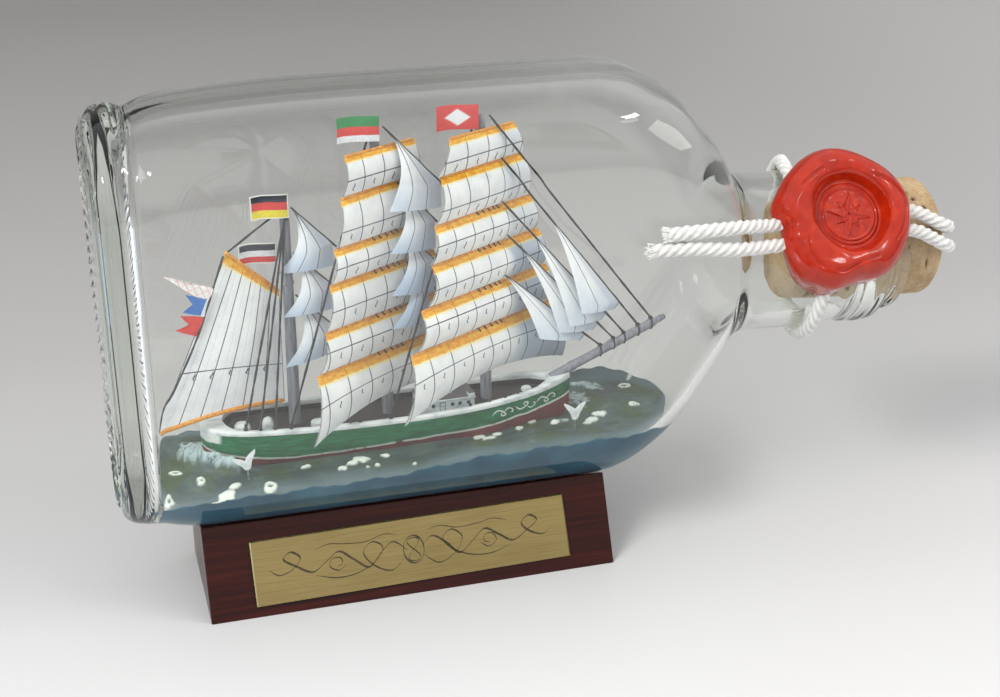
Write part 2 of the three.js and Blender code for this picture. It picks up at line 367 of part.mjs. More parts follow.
// ---------------------------------------------------------------- sea and gulls
{
  const X0 = -52, X1 = 66, Y0 = MID_Y - 20, Y1 = MID_Y + 20, nx = 22, ny = 8;
  const wave = (x, y) => 24.3 + 0.012 * x + 0.45 * Math.exp(-(((y - MID_Y) / 8) ** 2)) + 0.32 * Math.sin(0.33 * x + 0.21 * y) + 0.22 * Math.sin(0.17 * x - 0.45 * y + 1.3);
  const pos = [], tri = [], w = nx + 1, N = w * (ny + 1);
  for (const low of [0, 1]) for (let j = 0; j <= ny; j++) for (let i = 0; i <= nx; i++) { const x = lerp(X0, X1, i / nx), y = lerp(Y0, Y1, j / ny); pos.push(V(x, y, low ? 5 : wave(x, y))); }
  for (let j = 0; j < ny; j++) for (let i = 0; i < nx; i++) { const a = j * w + i, b = a + 1, c = a + w, d = c + 1; tri.push(a, b, d, a, d, c, N + a, N + d, N + b, N + a, N + c, N + d); }
  const rim = (a, b) => tri.push(a, N + a, N + b, a, N + b, b);
  for (let i = 0; i < nx; i++) { rim(i, i + 1); rim(ny * w + i + 1, ny * w + i); }
  for (let j = 0; j < ny; j++) { rim((j + 1) * w, j * w); rim(j * w + nx, (j + 1) * w + nx); }
  const block = solid(pos, tri);
  const bed = loft([-35.7, ...HULL_X.slice(1, -1), 33.6].map(x => hullRing(x, 0.15)));
  put('sea_putty', block.intersect(loft(inside(0.12))).subtract(bed), 0x2f5c6b, { roughness: 0.5 });
  const gull = (name, x, y, z, tips, low) => {
    const body = V(x, y, z);
    const wing = t => { const a = body, b = V(t[0], y, t[1]), n = b.clone().sub(a).normalize(), s = V(-n.z, 0, n.x).multiplyScalar(0.5); const q = [a.clone().sub(s), a.clone().add(s), b.clone().addScaledVector(s, 0.35), b.clone().addScaledVector(s, -0.35)]; return loft([q.map(p => p.clone().add(V(0, -0.16, 0))), q.map(p => p.clone().add(V(0, 0.16, 0)))]); };
    put(name, wing(tips[0]).add(wing(tips[1])).add(rod(body, V(x + 0.1, y, low), 0.17, 0.17, 6)), 0xf4f4f4);
  };
  gull('gull_aft', -28.6, MID_Y - 9.6, 26.4, [[-31.2, 28.6], [-27.2, 30.0]], wave(-28.5, MID_Y - 9.6) + 0.12);
  gull('gull_bow', 31.6, MID_Y - 9, 27.7, [[29.5, 30.9], [33.6, 30.9]], wave(31.7, MID_Y - 9) + 0.12);
}

// ---------------------------------------------------------------- cord and wax seal
// the strands run along the neck this many degrees above the front, and sink towards the cork
const run = table([[60, 30], [67.5, 29.5], [80, 30.5], [91, 32], [94.5, 31.5], [97.5, 28.5], [100.5, 23.5], [103.5, 17.5], [106, 15], [114, 15]]);
const AX = V(0, MID_Y, AXIS_Z);
const across = (x, d, o) => { const a = run(x) * Math.PI / 180; return V(x, MID_Y - d * Math.cos(a) + o * Math.sin(a), AXIS_Z + d * Math.sin(a) + o * Math.cos(a)); };
const lay = (x, r, o) => across(x, Math.sign(r) * Math.sqrt(Math.max(0, r * r - o * o)), o);
const NR = NECK_R + CORD_R + 0.3;
const strand = (o, tail) => smooth([...tail, lay(67.5, NR, o), lay(80, NR, o), lay(87.2, 16.6, o), lay(91, 16.6, o), lay(96.4, 15.2, o), lay(100, 13.9, o), lay(103, 13.0, o), across(105.2, 10.6, o), across(105.8, 5.4, o),
  across(105.8, -5.4, o), across(105.2, -10.6, o), lay(103, -13.0, o), lay(100, -13.9, o), lay(96.4, -15.2, o), lay(91, -16.6, o), lay(84.5, -16.5, o)]);
const upperPath = strand(1.95, [V(44.2, MID_Y - 19.9, 65.3), V(53, MID_Y - 19.0, 65.0), V(60.3, MID_Y - 16.7, 64.1)]);
const lowerPath = strand(-1.75, [V(41.4, MID_Y - 20.0, 62.7), V(49, MID_Y - 19.7, 62.3), V(57.6, MID_Y - 18.5, 60.8)]);
const upper = sweep(upperPath, CORD_R, 32), lower = sweep(lowerPath, CORD_R, 32);
const loopX = table([[0, 80.0], [0.07, 77.2], [0.157, 76.8], [0.2, 77.0], [0.252, 77.9], [0.32, 79.0], [0.42, 79.8], [0.55, 80.0], [0.68, 79.6], [0.75, 78.9], [0.818, 77.6], [0.887, 75.4], [0.95, 74.3], [1, 75.2]]);
const loopPts = []; for (let i = 0; i <= 24; i++) { const t = i / 24, a = lerp(14, -304, t) * Math.PI / 180; loopPts.push(V(loopX(t), MID_Y - NR * Math.cos(a), AXIS_Z + NR * Math.sin(a))); }
const loopPath = smooth(loopPts), loop = sweep(loopPath, CORD_R, 24);
put('cord_strand_upper', upper, 0xf3f1ea, { roughness: 0.95 });
put('cord_strand_lower', lower, 0xf3f1ea, { roughness: 0.95 });
put('cord_neck_loop', loop, 0xf3f1ea, { roughness: 0.95 });
{
  // the seal is an irregular disc pressed over the strands; its frame faces outward from the neck
  const a = 37 * Math.PI / 180, out = V(0, -Math.cos(a), Math.sin(a)), up = V(0, Math.sin(a), Math.cos(a)), c = V(81.0, MID_Y, AXIS_Z).addScaledVector(out, 15.0);
  const edge = k => 13.0 + 0.5 * Math.sin(2 * k + 0.6) + 0.35 * Math.sin(3 * k + 2.0) + 0.25 * Math.sin(5 * k);
  const prof = [[0, 2.9], [0.48, 2.9], [0.53, 3.2], [0.6, 4.6], [0.68, 5.0], [0.8, 5.0], [0.93, 4.5], [1, 3.2], [0.985, 1.6], [0.93, 0.2]];
  const n = 24, rings = [];
  const pt = (k, r, h) => c.clone().addScaledVector(V(1, 0, 0), r * Math.cos(k)).addScaledVector(up, r * Math.sin(k) * 1.02).addScaledVector(out, h);
  for (const [f, h] of prof.slice(1)) { const o = []; for (let i = 0; i < n; i++) { const k = 2 * Math.PI * i / n; o.push(pt(k, edge(k) * f, h)); } rings.push(o); }
  rings.push(rings[0].map((_, i) => { const k = 2 * Math.PI * i / n; return pt(k, edge(k) * 0.9, -6); }));
  let wax = loft(rings);
  const grow = (path, n) => sweep(path, CORD_R + 0.25, n);
  wax = wax.subtract(rod(V(58, MID_Y, AXIS_Z), V(118, MID_Y, AXIS_Z), NECK_R + 0.6, NECK_R + 0.6, 40));
  wax = wax.subtract(grow(upperPath, 32)).subtract(grow(lowerPath, 32)).subtract(grow(loopPath, 24));
  put('wax_seal', wax, 0xd81e05, { roughness: 0.25 });
}

export default ship;
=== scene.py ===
# A ship in a bottle: the looks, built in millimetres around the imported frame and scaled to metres.
import math

import bpy
import numpy as np
from mathutils import Matrix, Vector


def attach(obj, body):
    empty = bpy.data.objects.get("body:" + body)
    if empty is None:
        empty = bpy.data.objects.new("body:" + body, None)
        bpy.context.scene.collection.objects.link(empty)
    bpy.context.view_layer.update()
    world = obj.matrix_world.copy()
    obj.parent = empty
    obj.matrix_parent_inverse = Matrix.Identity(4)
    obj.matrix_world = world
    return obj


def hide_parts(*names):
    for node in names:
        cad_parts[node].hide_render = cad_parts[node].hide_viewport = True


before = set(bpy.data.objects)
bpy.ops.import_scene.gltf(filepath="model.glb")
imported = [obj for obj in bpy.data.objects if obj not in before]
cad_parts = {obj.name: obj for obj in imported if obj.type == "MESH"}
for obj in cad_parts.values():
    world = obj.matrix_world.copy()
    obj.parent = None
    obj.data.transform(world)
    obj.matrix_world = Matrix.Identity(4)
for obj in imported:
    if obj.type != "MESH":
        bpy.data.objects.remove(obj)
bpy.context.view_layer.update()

MM = 0.001
MY, AZ = 3.6, 52.9            # bottle centre plane and axis height
pi = math.pi
scene = bpy.context.scene


# ------------------------------------------------------------------ numbers
def table(rows):
    xs = np.array([r[0] for r in rows], float)
    ys = np.array([r[1] for r in rows], float)
    d = np.diff(ys) / np.diff(xs)
    m = np.zeros(len(xs))
    m[0], m[-1] = d[0], d[-1]
    for i in range(1, len(xs) - 1):
        m[i] = 0 if d[i - 1] * d[i] <= 0 else 2 * d[i - 1] * d[i] / (d[i - 1] + d[i])

    def f(x):
        x = np.clip(np.asarray(x, float), xs[0], xs[-1])
        i = np.clip(np.searchsorted(xs, x, side="right") - 1, 0, len(xs) - 2)
        h = xs[i + 1] - xs[i]
        t = (x - xs[i]) / h
        return (2 * t**3 - 3 * t**2 + 1) * ys[i] + (t**3 - 2 * t**2 + t) * m[i] * h + (-2 * t**3 + 3 * t**2) * ys[i + 1] + (t**3 - t**2) * m[i + 1] * h

    return f


def vnoise(p, seed=0):
    """Smooth value noise, -1 to 1, at points p (n, 3)."""
    p = np.asarray(p, float)
    i = np.floor(p).astype(np.int64)
    f = p - i
    f = f * f * (3 - 2 * f)

    def h(dx, dy, dz):
        n = (i[..., 0] + dx) * 374761393 + (i[..., 1] + dy) * 668265263 + (i[..., 2] + dz) * 1440662683 + seed * 1274126177
        n = (n ^ (n >> 13)) & 0x7FFFFFFF
        n = (n * 1274126177) & 0x7FFFFFFF
        n = n ^ (n >> 16)
        return (n & 0xFFFF) / 32767.5 - 1

    x, y, z = f[..., 0], f[..., 1], f[..., 2]
    a = h(0, 0, 0) * (1 - x) + h(1, 0, 0) * x
    b = h(0, 1, 0) * (1 - x) + h(1, 1, 0) * x
    c = h(0, 0, 1) * (1 - x) + h(1, 0, 1) * x
    d = h(0, 1, 1) * (1 - x) + h(1, 1, 1) * x
    return (a * (1 - y) + b * y) * (1 - z) + (c * (1 - y) + d * y) * z


def fbm(p, size, seed=0, octaves=4, gain=0.5):
    p = np.asarray(p, float) / size
    out, amp, tot = 0, 1.0, 0
    for k in range(octaves):
        out = out + amp * vnoise(p * 2**k + 17.3 * k, seed + k)
        tot += amp
        amp *= gain
    return out / tot


def smoothstep(a, b, x):
    t = np.clip((np.asarray(x, float) - a) / (b - a), 0, 1)
    return t * t * (3 - 2 * t)


def lerp(a, b, t):
    return a + (b - a) * t


def spline(points, step=None, n=None):
    """Centripetal Catmull-Rom through points, evenly resampled."""
    P = np.array(points, float)
    P = np.vstack([2 * P[0] - P[1], P, 2 * P[-1] - P[-2]])
    out = []
    for i in range(1, len(P) - 2):
        p0, p1, p2, p3 = P[i - 1 : i + 3]
        t0 = 0.0
        t1 = t0 + max(np.linalg.norm(p1 - p0), 1e-9) ** 0.5
        t2 = t1 + max(np.linalg.norm(p2 - p1), 1e-9) ** 0.5
        t3 = t2 + max(np.linalg.norm(p3 - p2), 1e-9) ** 0.5
        t = np.linspace(t1, t2, 24, endpoint=False)[:, None]
        a1 = (t1 - t) / (t1 - t0) * p0 + (t - t0) / (t1 - t0) * p1
        a2 = (t2 - t) / (t2 - t1) * p1 + (t - t1) / (t2 - t1) * p2
        a3 = (t3 - t) / (t3 - t2) * p2 + (t - t2) / (t3 - t2) * p3
        b1 = (t2 - t) / (t2 - t0) * a1 + (t - t0) / (t2 - t0) * a2
        b2 = (t3 - t) / (t3 - t1) * a2 + (t - t1) / (t3 - t1) * a3
        out.append((t2 - t) / (t2 - t1) * b1 + (t - t1) / (t2 - t1) * b2)
    out = np.vstack([*out, P[-2:-1]])
    return resample(out, step, n)


def resample(p, step=None, n=None):
    p = np.asarray(p, float)
    s = np.concatenate([[0], np.cumsum(np.linalg.norm(np.diff(p, axis=0), axis=1))])
    n = n or max(2, int(round(s[-1] / step)) + 1)
    t = np.linspace(0, s[-1], n)
    return np.stack([np.interp(t, s, p[:, k]) for k in range(p.shape[1])], 1)


# ------------------------------------------------------------------ meshes
def outward(verts, faces):
    """Faces turned so the closed surface faces out."""
    v = np.asarray(verts, float)
    c = v.mean(0)
    vol = 0.0
    for n in set(len(f) for f in faces):
        q = v[np.array([f for f in faces if len(f) == n])] - c
        for k in range(1, n - 1):
            vol += np.einsum("ij,ij->i", q[:, 0], np.cross(q[:, k], q[:, k + 1])).sum()
    return faces if vol > 0 else [tuple(f[::-1]) for f in faces]


def mesh(name, verts, faces, mats, body, smooth=True, uv=None, attrs=None, face_mat=None, sharp=None, replaces=()):
    me = bpy.data.meshes.new(name)
    if body:
        faces = outward(verts, faces)
    me.from_pydata((np.asarray(verts, float) * MM).tolist(), [], faces)
    for m in mats if isinstance(mats, (list, tuple)) else [mats]:
        me.materials.append(m.m if isinstance(m, Mat) else m)
    me.polygons.foreach_set("use_smooth", [bool(smooth)] * len(me.polygons))
    if face_mat is not None:
        me.polygons.foreach_set("material_index", [int(k) for k in face_mat])
    if uv is not None:
        idx = np.zeros(len(me.loops), np.int32)
        me.loops.foreach_get("vertex_index", idx)
        me.uv_layers.new(name="UVMap").data.foreach_set("uv", np.asarray(uv, np.float32)[idx].ravel())
    for k, v in (attrs or {}).items():
        me.attributes.new(k, "FLOAT", "POINT").data.foreach_set("value", np.asarray(v, np.float32))
    me.update()
    if sharp is not None:
        me.set_sharp_from_angle(angle=math.radians(sharp))
    ob = bpy.data.objects.new(name + "_surface" if name in bpy.data.objects or replaces else name, me)
    scene.collection.objects.link(ob)
    if body:
        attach(ob, body)
    if replaces:
        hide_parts(*replaces)
    return ob


def rings_faces(m, n, closed=True, caps=(True, True), base=0):
    """Faces of m rings of n points."""
    f = []
    for i in range(m - 1):
        a, b = base + i * n, base + (i + 1) * n
        for j in range(n if closed else n - 1):
            k = (j + 1) % n
            f.append((a + j, a + k, b + k, b + j))
    if caps[0]:
        f.append(tuple(base + j for j in range(n))[::-1])
    if caps[1]:
        f.append(tuple(base + (m - 1) * n + j for j in range(n)))
    return f


def sheet_mesh(P, N, nu, nv, thick, back=0.0):
    """A thin closed sheet over grids P (nv+1, nu+1, 3) with normals N. Returns verts, faces."""
    w = nu + 1
    a = (P + N * thick / 2).reshape(-1, 3)
    b = (P - N * thick / 2).reshape(-1, 3)
    n = len(a)
    f = []
    for j in range(nv):
        for i in range(nu):
            q = j * w + i
            f.append((q, q + 1, q + 1 + w, q + w))
            f.append((n + q, n + q + w, n + q + w + 1, n + q + 1))
    for i in range(nu):
        f.append((i, n + i, n + i + 1, i + 1))
        q = nv * w + i
        f.append((q + 1, n + q + 1, n + q, q))
    for j in range(nv):
        q = j * w
        f.append((q + w, n + q + w, n + q, q))
        q = j * w + nu
        f.append((q, n + q, n + q + w, q + w))
    return np.vstack([a, b]), f


def grid_normals(P):
    du = np.gradient(P, axis=1)
    dv = np.gradient(P, axis=0)
    N = np.cross(du, dv)
    return N / np.maximum(np.linalg.norm(N, axis=2, keepdims=True), 1e-9)


def frames(p, up=(0, 0, 1)):
    t = np.gradient(p, axis=0)
    t /= np.linalg.norm(t, axis=1, keepdims=True)
    u = np.array(up, float)
    if abs(t[0] @ u) > 0.95:
        u = np.array([0, 1.0, 0])
    S, U = np.zeros_like(t), np.zeros_like(t)
    for i in range(len(t)):
        s = np.cross(t[i], u)
        s /= np.linalg.norm(s)
        u = np.cross(s, t[i])
        S[i], U[i] = s, u
    return t, S, U


def tube_mesh(p, r, sides=10, flat=0.0, twist=0.0, up=(0, 0, 1)):
    """Rings round the line p. r may vary; flat squeezes the section, twist turns it per mm."""
    t, S, U = frames(p, up)
    s = np.concatenate([[0], np.cumsum(np.linalg.norm(np.diff(p, axis=0), axis=1))])
    r = np.broadcast_to(np.asarray(r, float), (len(p),))
    a = np.arange(sides) * 2 * pi / sides
    rr = r[:, None] * (1 + flat * np.cos(2 * (a[None, :] - twist * s[:, None])))
    v = p[:, None, :] + rr[..., None] * (np.cos(a)[None, :, None] * S[:, None, :] + np.sin(a)[None, :, None] * U[:, None, :])
    return v.reshape(-1, 3), rings_faces(len(p), sides)


def join(parts):
    V, F, off = [], [], 0
    for v, f in parts:
        V.append(v)
        f = outward(v, f)
        F += [tuple(i + off for i in q) for q in f]
        off += len(v)
    return np.vstack(V), F


def mod(ob, kind, **kw):
    m = ob.modifiers.new(kind.lower(), kind)
    for k, v in kw.items():
        setattr(m, k, v)
    return m


# ------------------------------------------------------------------ materials
class Mat:
    def __init__(self, name, color=(0.8, 0.8, 0.8), rough=0.5, metal=0.0, **inputs):
        self.m = bpy.data.materials.new(name)
        self.m.use_nodes = True
        self.t = self.m.node_tree
        self.b = self.t.nodes["Principled BSDF"]
        self.out = self.t.nodes["Material Output"]
        self.b.inputs["Base Color"].default_value = (*color, 1)
        self.b.inputs["Roughness"].default_value = rough
        self.b.inputs["Metallic"].default_value = metal
        for k, v in inputs.items():
            self.b.inputs[k.replace("_", " ")].default_value = v

    def n(self, kind, **props):
        node = self.t.nodes.new(kind)
        for k, v in props.items():
            setattr(node, k, v)
        return node

    def put(self, socket, v):
        if isinstance(v, bpy.types.NodeSocket):
            self.t.links.new(v, socket)
        elif isinstance(v, (tuple, list)) and len(v) == 3 and socket.type == "RGBA":
            socket.default_value = (*v, 1)
        else:
            socket.default_value = v

    def obj(self, sx=1000.0, sy=None, sz=None):
        c = self.n("ShaderNodeTexCoord")
        v = self.n("ShaderNodeVectorMath", operation="MULTIPLY")
        self.t.links.new(c.outputs["Object"], v.inputs[0])
        v.inputs[1].default_value = (sx, sy or sx, sz or sx)
        return v.outputs[0]

    def uv(self, sx=1.0, sy=1.0):
        c = self.n("ShaderNodeUVMap", uv_map="UVMap")
        v = self.n("ShaderNodeVectorMath", operation="MULTIPLY")
        self.t.links.new(c.outputs[0], v.inputs[0])
        v.inputs[1].default_value = (sx, sy, 1)
        return v.outputs[0]

    def xyz(self, v):
        s = self.n("ShaderNodeSeparateXYZ")
        self.t.links.new(v, s.inputs[0])
        return s.outputs[0], s.outputs[1], s.outputs[2]

    def attr(self, name):
        return self.n("ShaderNodeAttribute", attribute_name=name).outputs["Fac"]

    def math(self, op, a, b=0.0, c=0.0, clamp=False):
        k = self.n("ShaderNodeMath", operation=op, use_clamp=clamp)
        self.put(k.inputs[0], a)
        self.put(k.inputs[1], b)
        self.put(k.inputs[2], c)
        return k.outputs[0]

    def step(self, lo, hi, x):
        k = self.n("ShaderNodeMapRange", interpolation_type="SMOOTHSTEP")
        self.put(k.inputs["Value"], x)
        self.put(k.inputs["From Min"], lo)
        self.put(k.inputs["From Max"], hi)
        return k.outputs["Result"]

    def noise(self, size, vec, detail=4.0, rough=0.5, distort=0.0):
        """Noise whose features are about size across, in vec's units."""
        k = self.n("ShaderNodeTexNoise")
        self.put(k.inputs["Vector"], vec)
        k.inputs["Scale"].default_value = 1.0 / size
        k.inputs["Detail"].default_value = detail
        k.inputs["Roughness"].default_value = rough
        k.inputs["Distortion"].default_value = distort
        return k.outputs[0]

    def voronoi(self, size, vec, feature="F1", rand=1.0, out="Distance"):
        k = self.n("ShaderNodeTexVoronoi", feature=feature)
        self.put(k.inputs["Vector"], vec)
        k.inputs["Scale"].default_value = 1.0 / size
        k.inputs["Randomness"].default_value = rand
        return k.outputs[out]

    def scale(self, vec, x, y, z):
        v = self.n("ShaderNodeVectorMath", operation="MULTIPLY")
        self.put(v.inputs[0], vec)
        v.inputs[1].default_value = (x, y, z)
        return v.outputs[0]

    def ramp(self, fac, stops):
        k = self.n("ShaderNodeValToRGB")
        self.put(k.inputs[0], fac)
        e = k.color_ramp.elements
        while len(e) < len(stops):
            e.new(0.5)
        for el, (p, c) in zip(e, stops):
            el.position = p
            el.color = (*c, 1) if len(c) == 3 else c
        return k.outputs[0]

    def mix(self, fac, a, b, mode="MIX"):
        k = self.n("ShaderNodeMix", data_type="RGBA", blend_type=mode)
        self.put(k.inputs[0], fac)
        self.put(k.inputs[6], a)
        self.put(k.inputs[7], b)
        return k.outputs[2]

    def color(self, c):
        self.put(self.b.inputs["Base Color"], c)

    def rough(self, r):
        self.put(self.b.inputs["Roughness"], r)

    def bump(self, height, strength=1.0, dist=0.05, normal=None):
        """dist in mm."""
        k = self.n("ShaderNodeBump")
        k.inputs["Strength"].default_value = strength
        k.inputs["Distance"].default_value = dist * MM
        self.put(k.inputs["Height"], height)
        if normal is not None:
            self.put(k.inputs["Normal"], normal)
        self.put(self.b.inputs["Normal"], k.outputs[0])
        return k.outputs[0]


def srgb(r, g, b):
    return tuple(((c / 255) / 12.92 if c / 255 <= 0.04045 else ((c / 255 + 0.055) / 1.055) ** 2.4) for c in (r, g, b))


# ------------------------------------------------------------------ camera, floor, light
cam_data = bpy.data.cameras.new("camera")
cam_data.sensor_fit, cam_data.sensor_width, cam_data.lens = "HORIZONTAL", 36, 57.64
cam_data.clip_start, cam_data.clip_end = 0.01, 10
cam = bpy.data.objects.new("camera", cam_data)
scene.collection.objects.link(cam)
scene.camera = cam
right, up, fwd = Vector((0.9597969, -0.2806922, -0.001343)), Vector((0.1120645, 0.3787973, 0.9186698)), Vector((0.2573548, 0.8818869, -0.3950241))
R = Matrix((right, up, -fwd)).transposed().to_4x4()
cam.matrix_world = Matrix.Translation(Vector((-55.869, -257.085, 155.706)) * MM) @ R

scene.view_settings.view_transform = "Standard"
scene.view_settings.exposure = 0.0
scene.cycles.max_bounces = 16
scene.cycles.transmission_bounces = 12
scene.cycles.glossy_bounces = 6
scene.cycles.diffuse_bounces = 3
scene.cycles.transparent_max_bounces = 16
scene.cycles.caustics_reflective = False
scene.cycles.caustics_refractive = False
scene.cycles.sample_clamp_indirect = 4.0
scene.cycles.use_denoising = True

# a pale table that sweeps up into the backdrop
floor_mat = Mat("pale_table", (0.8, 0.8, 0.8), 0.28, Specular_IOR_Level=0.35)
fx, fy, fz = floor_mat.xyz(floor_mat.obj())
mott = floor_mat.noise(160, floor_mat.obj(), 2)
# painted shade: the table's colour darkens from the near edge to the far backdrop, standing in for light falloff
painted_falloff = floor_mat.math("ADD", floor_mat.math("DIVIDE", floor_mat.math("ADD", fy, 80), 620), floor_mat.math("MULTIPLY", floor_mat.math("SUBTRACT", mott, 0.5), 0.02))
painted_shade_y = floor_mat.ramp(painted_falloff, [(0.0, (0.70,) * 3), (0.03, (0.67, 0.67, 0.675)), (0.07, (0.645, 0.645, 0.65)), (0.11, (0.60, 0.60, 0.605)), (0.16, (0.54, 0.54, 0.545)), (0.21, (0.485, 0.483, 0.485)), (0.32, (0.425, 0.422, 0.422)), (0.60, (0.385, 0.38, 0.378)), (0.87, (0.355, 0.35, 0.347)), (1.0, (0.33, 0.325, 0.32))])
# painted light: the table is lightened towards +X, to the right of the stand
floor_mat.color(floor_mat.mix(floor_mat.math("MULTIPLY", floor_mat.step(150, 420, fx), 0.42), painted_shade_y, (0.78, 0.775, 0.77)))
ys = [-900, -300, 0, 300, 560]
prof = [(y, 0.0) for y in ys] + [(560 + 240 * math.sin(a), 240 * (1 - math.cos(a))) for a in np.linspace(0.1, pi / 2, 12)] + [(800, 900)]
xs = np.linspace(-1100, 1200, 24)
v = np.array([[x, y, z] for (y, z) in prof for x in xs])
sweep_floor = mesh("table_and_backdrop", v, rings_faces(len(prof), len(xs), closed=False, caps=(False, False)), floor_mat, None)

world = bpy.data.worlds.new("studio")
scene.world = world
world.use_nodes = True
wt = world.node_tree
bg = wt.nodes["Background"]
tc, sep = wt.nodes.new("ShaderNodeTexCoord"), wt.nodes.new("ShaderNodeSeparateXYZ")
wt.links.new(tc.outputs["Generated"], sep.inputs[0])
wr = wt.nodes.new("ShaderNodeValToRGB")
mr = wt.nodes.new("ShaderNodeMapRange")
mr.inputs["From Min"].default_value, mr.inputs["From Max"].default_value = -1, 1
wt.links.new(sep.outputs[2], mr.inputs["Value"])
wt.links.new(mr.outputs[0], wr.inputs[0])
for el, (p, c) in zip([wr.color_ramp.elements[0], wr.color_ramp.elements[1], wr.color_ramp.elements.new(0.62), wr.color_ramp.elements.new(0.5)],
                      [(0.0, (0.20, 0.20, 0.20, 1)), (1.0, (0.95, 0.96, 1.0, 1)), (0.62, (0.46, 0.46, 0.47, 1)), (0.5, (0.16, 0.16, 0.165, 1))]):
    el.position, el.color = p, c
wt.links.new(wr.outputs[0], bg.inputs[0])
bg.inputs[1].default_value = 1.0


def area(name, at, aim, sx, sy, power, color=(1, 1, 1)):
    d = bpy.data.lights.new(name, "AREA")
    d.shape, d.size, d.size_y, d.energy, d.color = "RECTANGLE", sx * MM, sy * MM, power, color
    o = bpy.data.objects.new(name, d)
    scene.collection.objects.link(o)
    o.location = Vector(at) * MM
    o.rotation_euler = (Vector(aim) * MM - o.location).to_track_quat("-Z", "Y").to_euler()
    return o


for lamp in (area("softbox_left", (-420, -260, 520), (20, 0, 40), 240, 180, 3.3, (1.0, 0.985, 0.96)),
             area("softbox_right", (520, -180, 380), (20, 0, 40), 240, 180, 1.1, (1.0, 0.97, 0.94))):
    lamp.visible_glossy = False
area("strip_right", (344, -241, 539), (50, 0, 75), 120, 36, 0.25)
area("strip_left", (-300, -330, 480), (80, 0, 60), 90, 40, 0.22)
area("window_left", (-190, -60, 15), (-45, 0, 45), 60, 40, 0.03, (0.45, 0.7, 1.0))


# ------------------------------------------------------------------ bottle
BX, LEN, HW, HD, WALL, BASE = -50.65, 147.0, 38.8, 18.3, 2.6, 4.2
MOUTH = BX + LEN
shoulder_w = table([[BX, HW], [36, HW], [41, 37.9], [46.4, 35.3], [50, 32.7], [54, 28.0], [57.2, 24.1], [59, 21.6], [60.4, 19.2], [62, 16.5], [64, 15.4], [67, 14.8], [110, 14.8]])
shoulder_d = table([[BX, HD], [38, HD], [48, 17.9], [56, 16.8], [61, 15.7], [64, 15.0], [67, 14.8], [110, 14.8]])
# towards the base the narrow sides draw in a little, the upper one more than the lower
draw_top = table([[BX, 2.9], [-48.5, 2.7], [-46, 2.2], [-44.8, 2.5], [-43.5, 3.2], [-42, 2.4], [-39.5, 1.65], [-36.8, 1.2], [-33.9, 0.95], [-28.3, 0.55], [-18, 0.1], [-10, 0]])
draw_bottom = table([[BX, 2.3], [-48.7, 2.1], [-46, 1.5], [-44, 1.15], [-42, 0.8], [-37.5, 0.1], [-34, 0]])
# the upper shoulder is fuller than the lower one
lift = table([[38, 0], [46, 0.7], [54, 1.7], [58, 2.1], [60.3, 2.0], [62, 1.1], [64, 0.6], [68, 0.2], [72, 0]])
draw_face = table([[BX, 0.9], [-46, 0.6], [-43.5, 1.1], [-42, 0.6], [-36, 0.25], [-28, 0]])


def soft(t, x):
    """The table smoothed over about a millimetre and a half."""
    x = np.asarray(x, float)
    return (t(x - 0.9) + 2 * t(x) + t(x + 0.9)) / 4


def half_w(x):
    return (soft(shoulder_w, np.asarray(x, float) - 1.2) + 2 * soft(shoulder_w, x) + soft(shoulder_w, np.asarray(x, float) + 1.2)) / 4 - (soft(draw_top, x) + soft(draw_bottom, x)) / 2


def half_d(x):
    return (soft(shoulder_d, np.asarray(x, float) - 1.2) + 2 * soft(shoulder_d, x) + soft(shoulder_d, np.asarray(x, float) + 1.2)) / 4 - soft(draw_face, x)


def sink(x):
    return (soft(draw_bottom, x) - soft(draw_top, x)) / 2 + soft(lift, x)


NB = 288


def ring(x, hw, hd, r, n=NB, dz=None):
    """A rounded-rectangle ring at x, n points evenly spaced, starting at the top and turning towards +Y."""
    dz = float(sink(x)) if dz is None else dz
    r = max(min(r, hw, hd), 1e-3)
    a = np.linspace(0, pi / 2, 40)
    q = np.vstack([[[0, hw]], np.stack([hd - r + r * np.sin(a), hw - r + r * np.cos(a)], 1), [[hd, 0]]])
    q = resample(q, n=n // 4 + 1)
    full = np.vstack([q[:-1], (q * [1, -1])[::-1][:-1], (q * [-1, -1])[:-1], (q * [-1, 1])[::-1][:-1]])
    return np.stack([np.full(len(full), float(x)), MY + full[:, 0], AZ + dz + full[:, 1]], 1)


def body_ring(x, inset=0.0):
    t = np.clip((x - 50) / 14, 0, 1)
    r = lerp(16 - inset, (14.8 if inset == 0 else 11.9), t)
    hw, hd = float(half_w(x)) - inset, float(half_d(x)) - inset
    if inset:
        blend = float(smoothstep(60, 66, x))
        hw, hd = lerp(hw, 11.9, blend), lerp(hd, 11.9, blend)
    return ring(x, hw, hd, r)


BW, BD, DZ0 = float(half_w(BX)), float(half_d(BX)), float(sink(BX))
outer = []
for inset, dx in [(17.6, 2.1), (14.5, 2.0), (11, 1.5), (9, 0.8), (7.8, 0.25), (7.0, 0.06)]:
    outer.append(ring(BX + dx, BW - inset, BD - inset, 16 - inset, dz=DZ0))
ks = np.arange(NB)
for inset in np.linspace(6.2, 2.6, 12):      # the stippled bearing ring
    rr = ring(BX, BW - inset, BD - inset, 16 - inset, dz=DZ0)
    bump = np.clip(np.sin(ks * pi / 2 + 0.4) * 1.4, -1, 1) * math.sin(pi * (6.2 - inset) / 3.6) ** 0.7
    rr[:, 0] -= 0.5 * bump + 0.05
    outer.append(rr)
for a in np.linspace(0, pi / 2, 10)[1:]:
    inset = 2.6 * (1 - math.sin(a))
    xh = BX + 2.6 * (1 - math.cos(a))
    rr = ring(xh, float(half_w(xh)) - inset, float(half_d(xh)) - inset, 16 - inset)
    outer.append(rr)
for x in [*np.linspace(BX + 3.3, -34, 23), *np.linspace(-32, 34, 18), *np.linspace(35.5, 67, 46), *np.linspace(68.2, 78, 8)]:
    outer.append(body_ring(x))
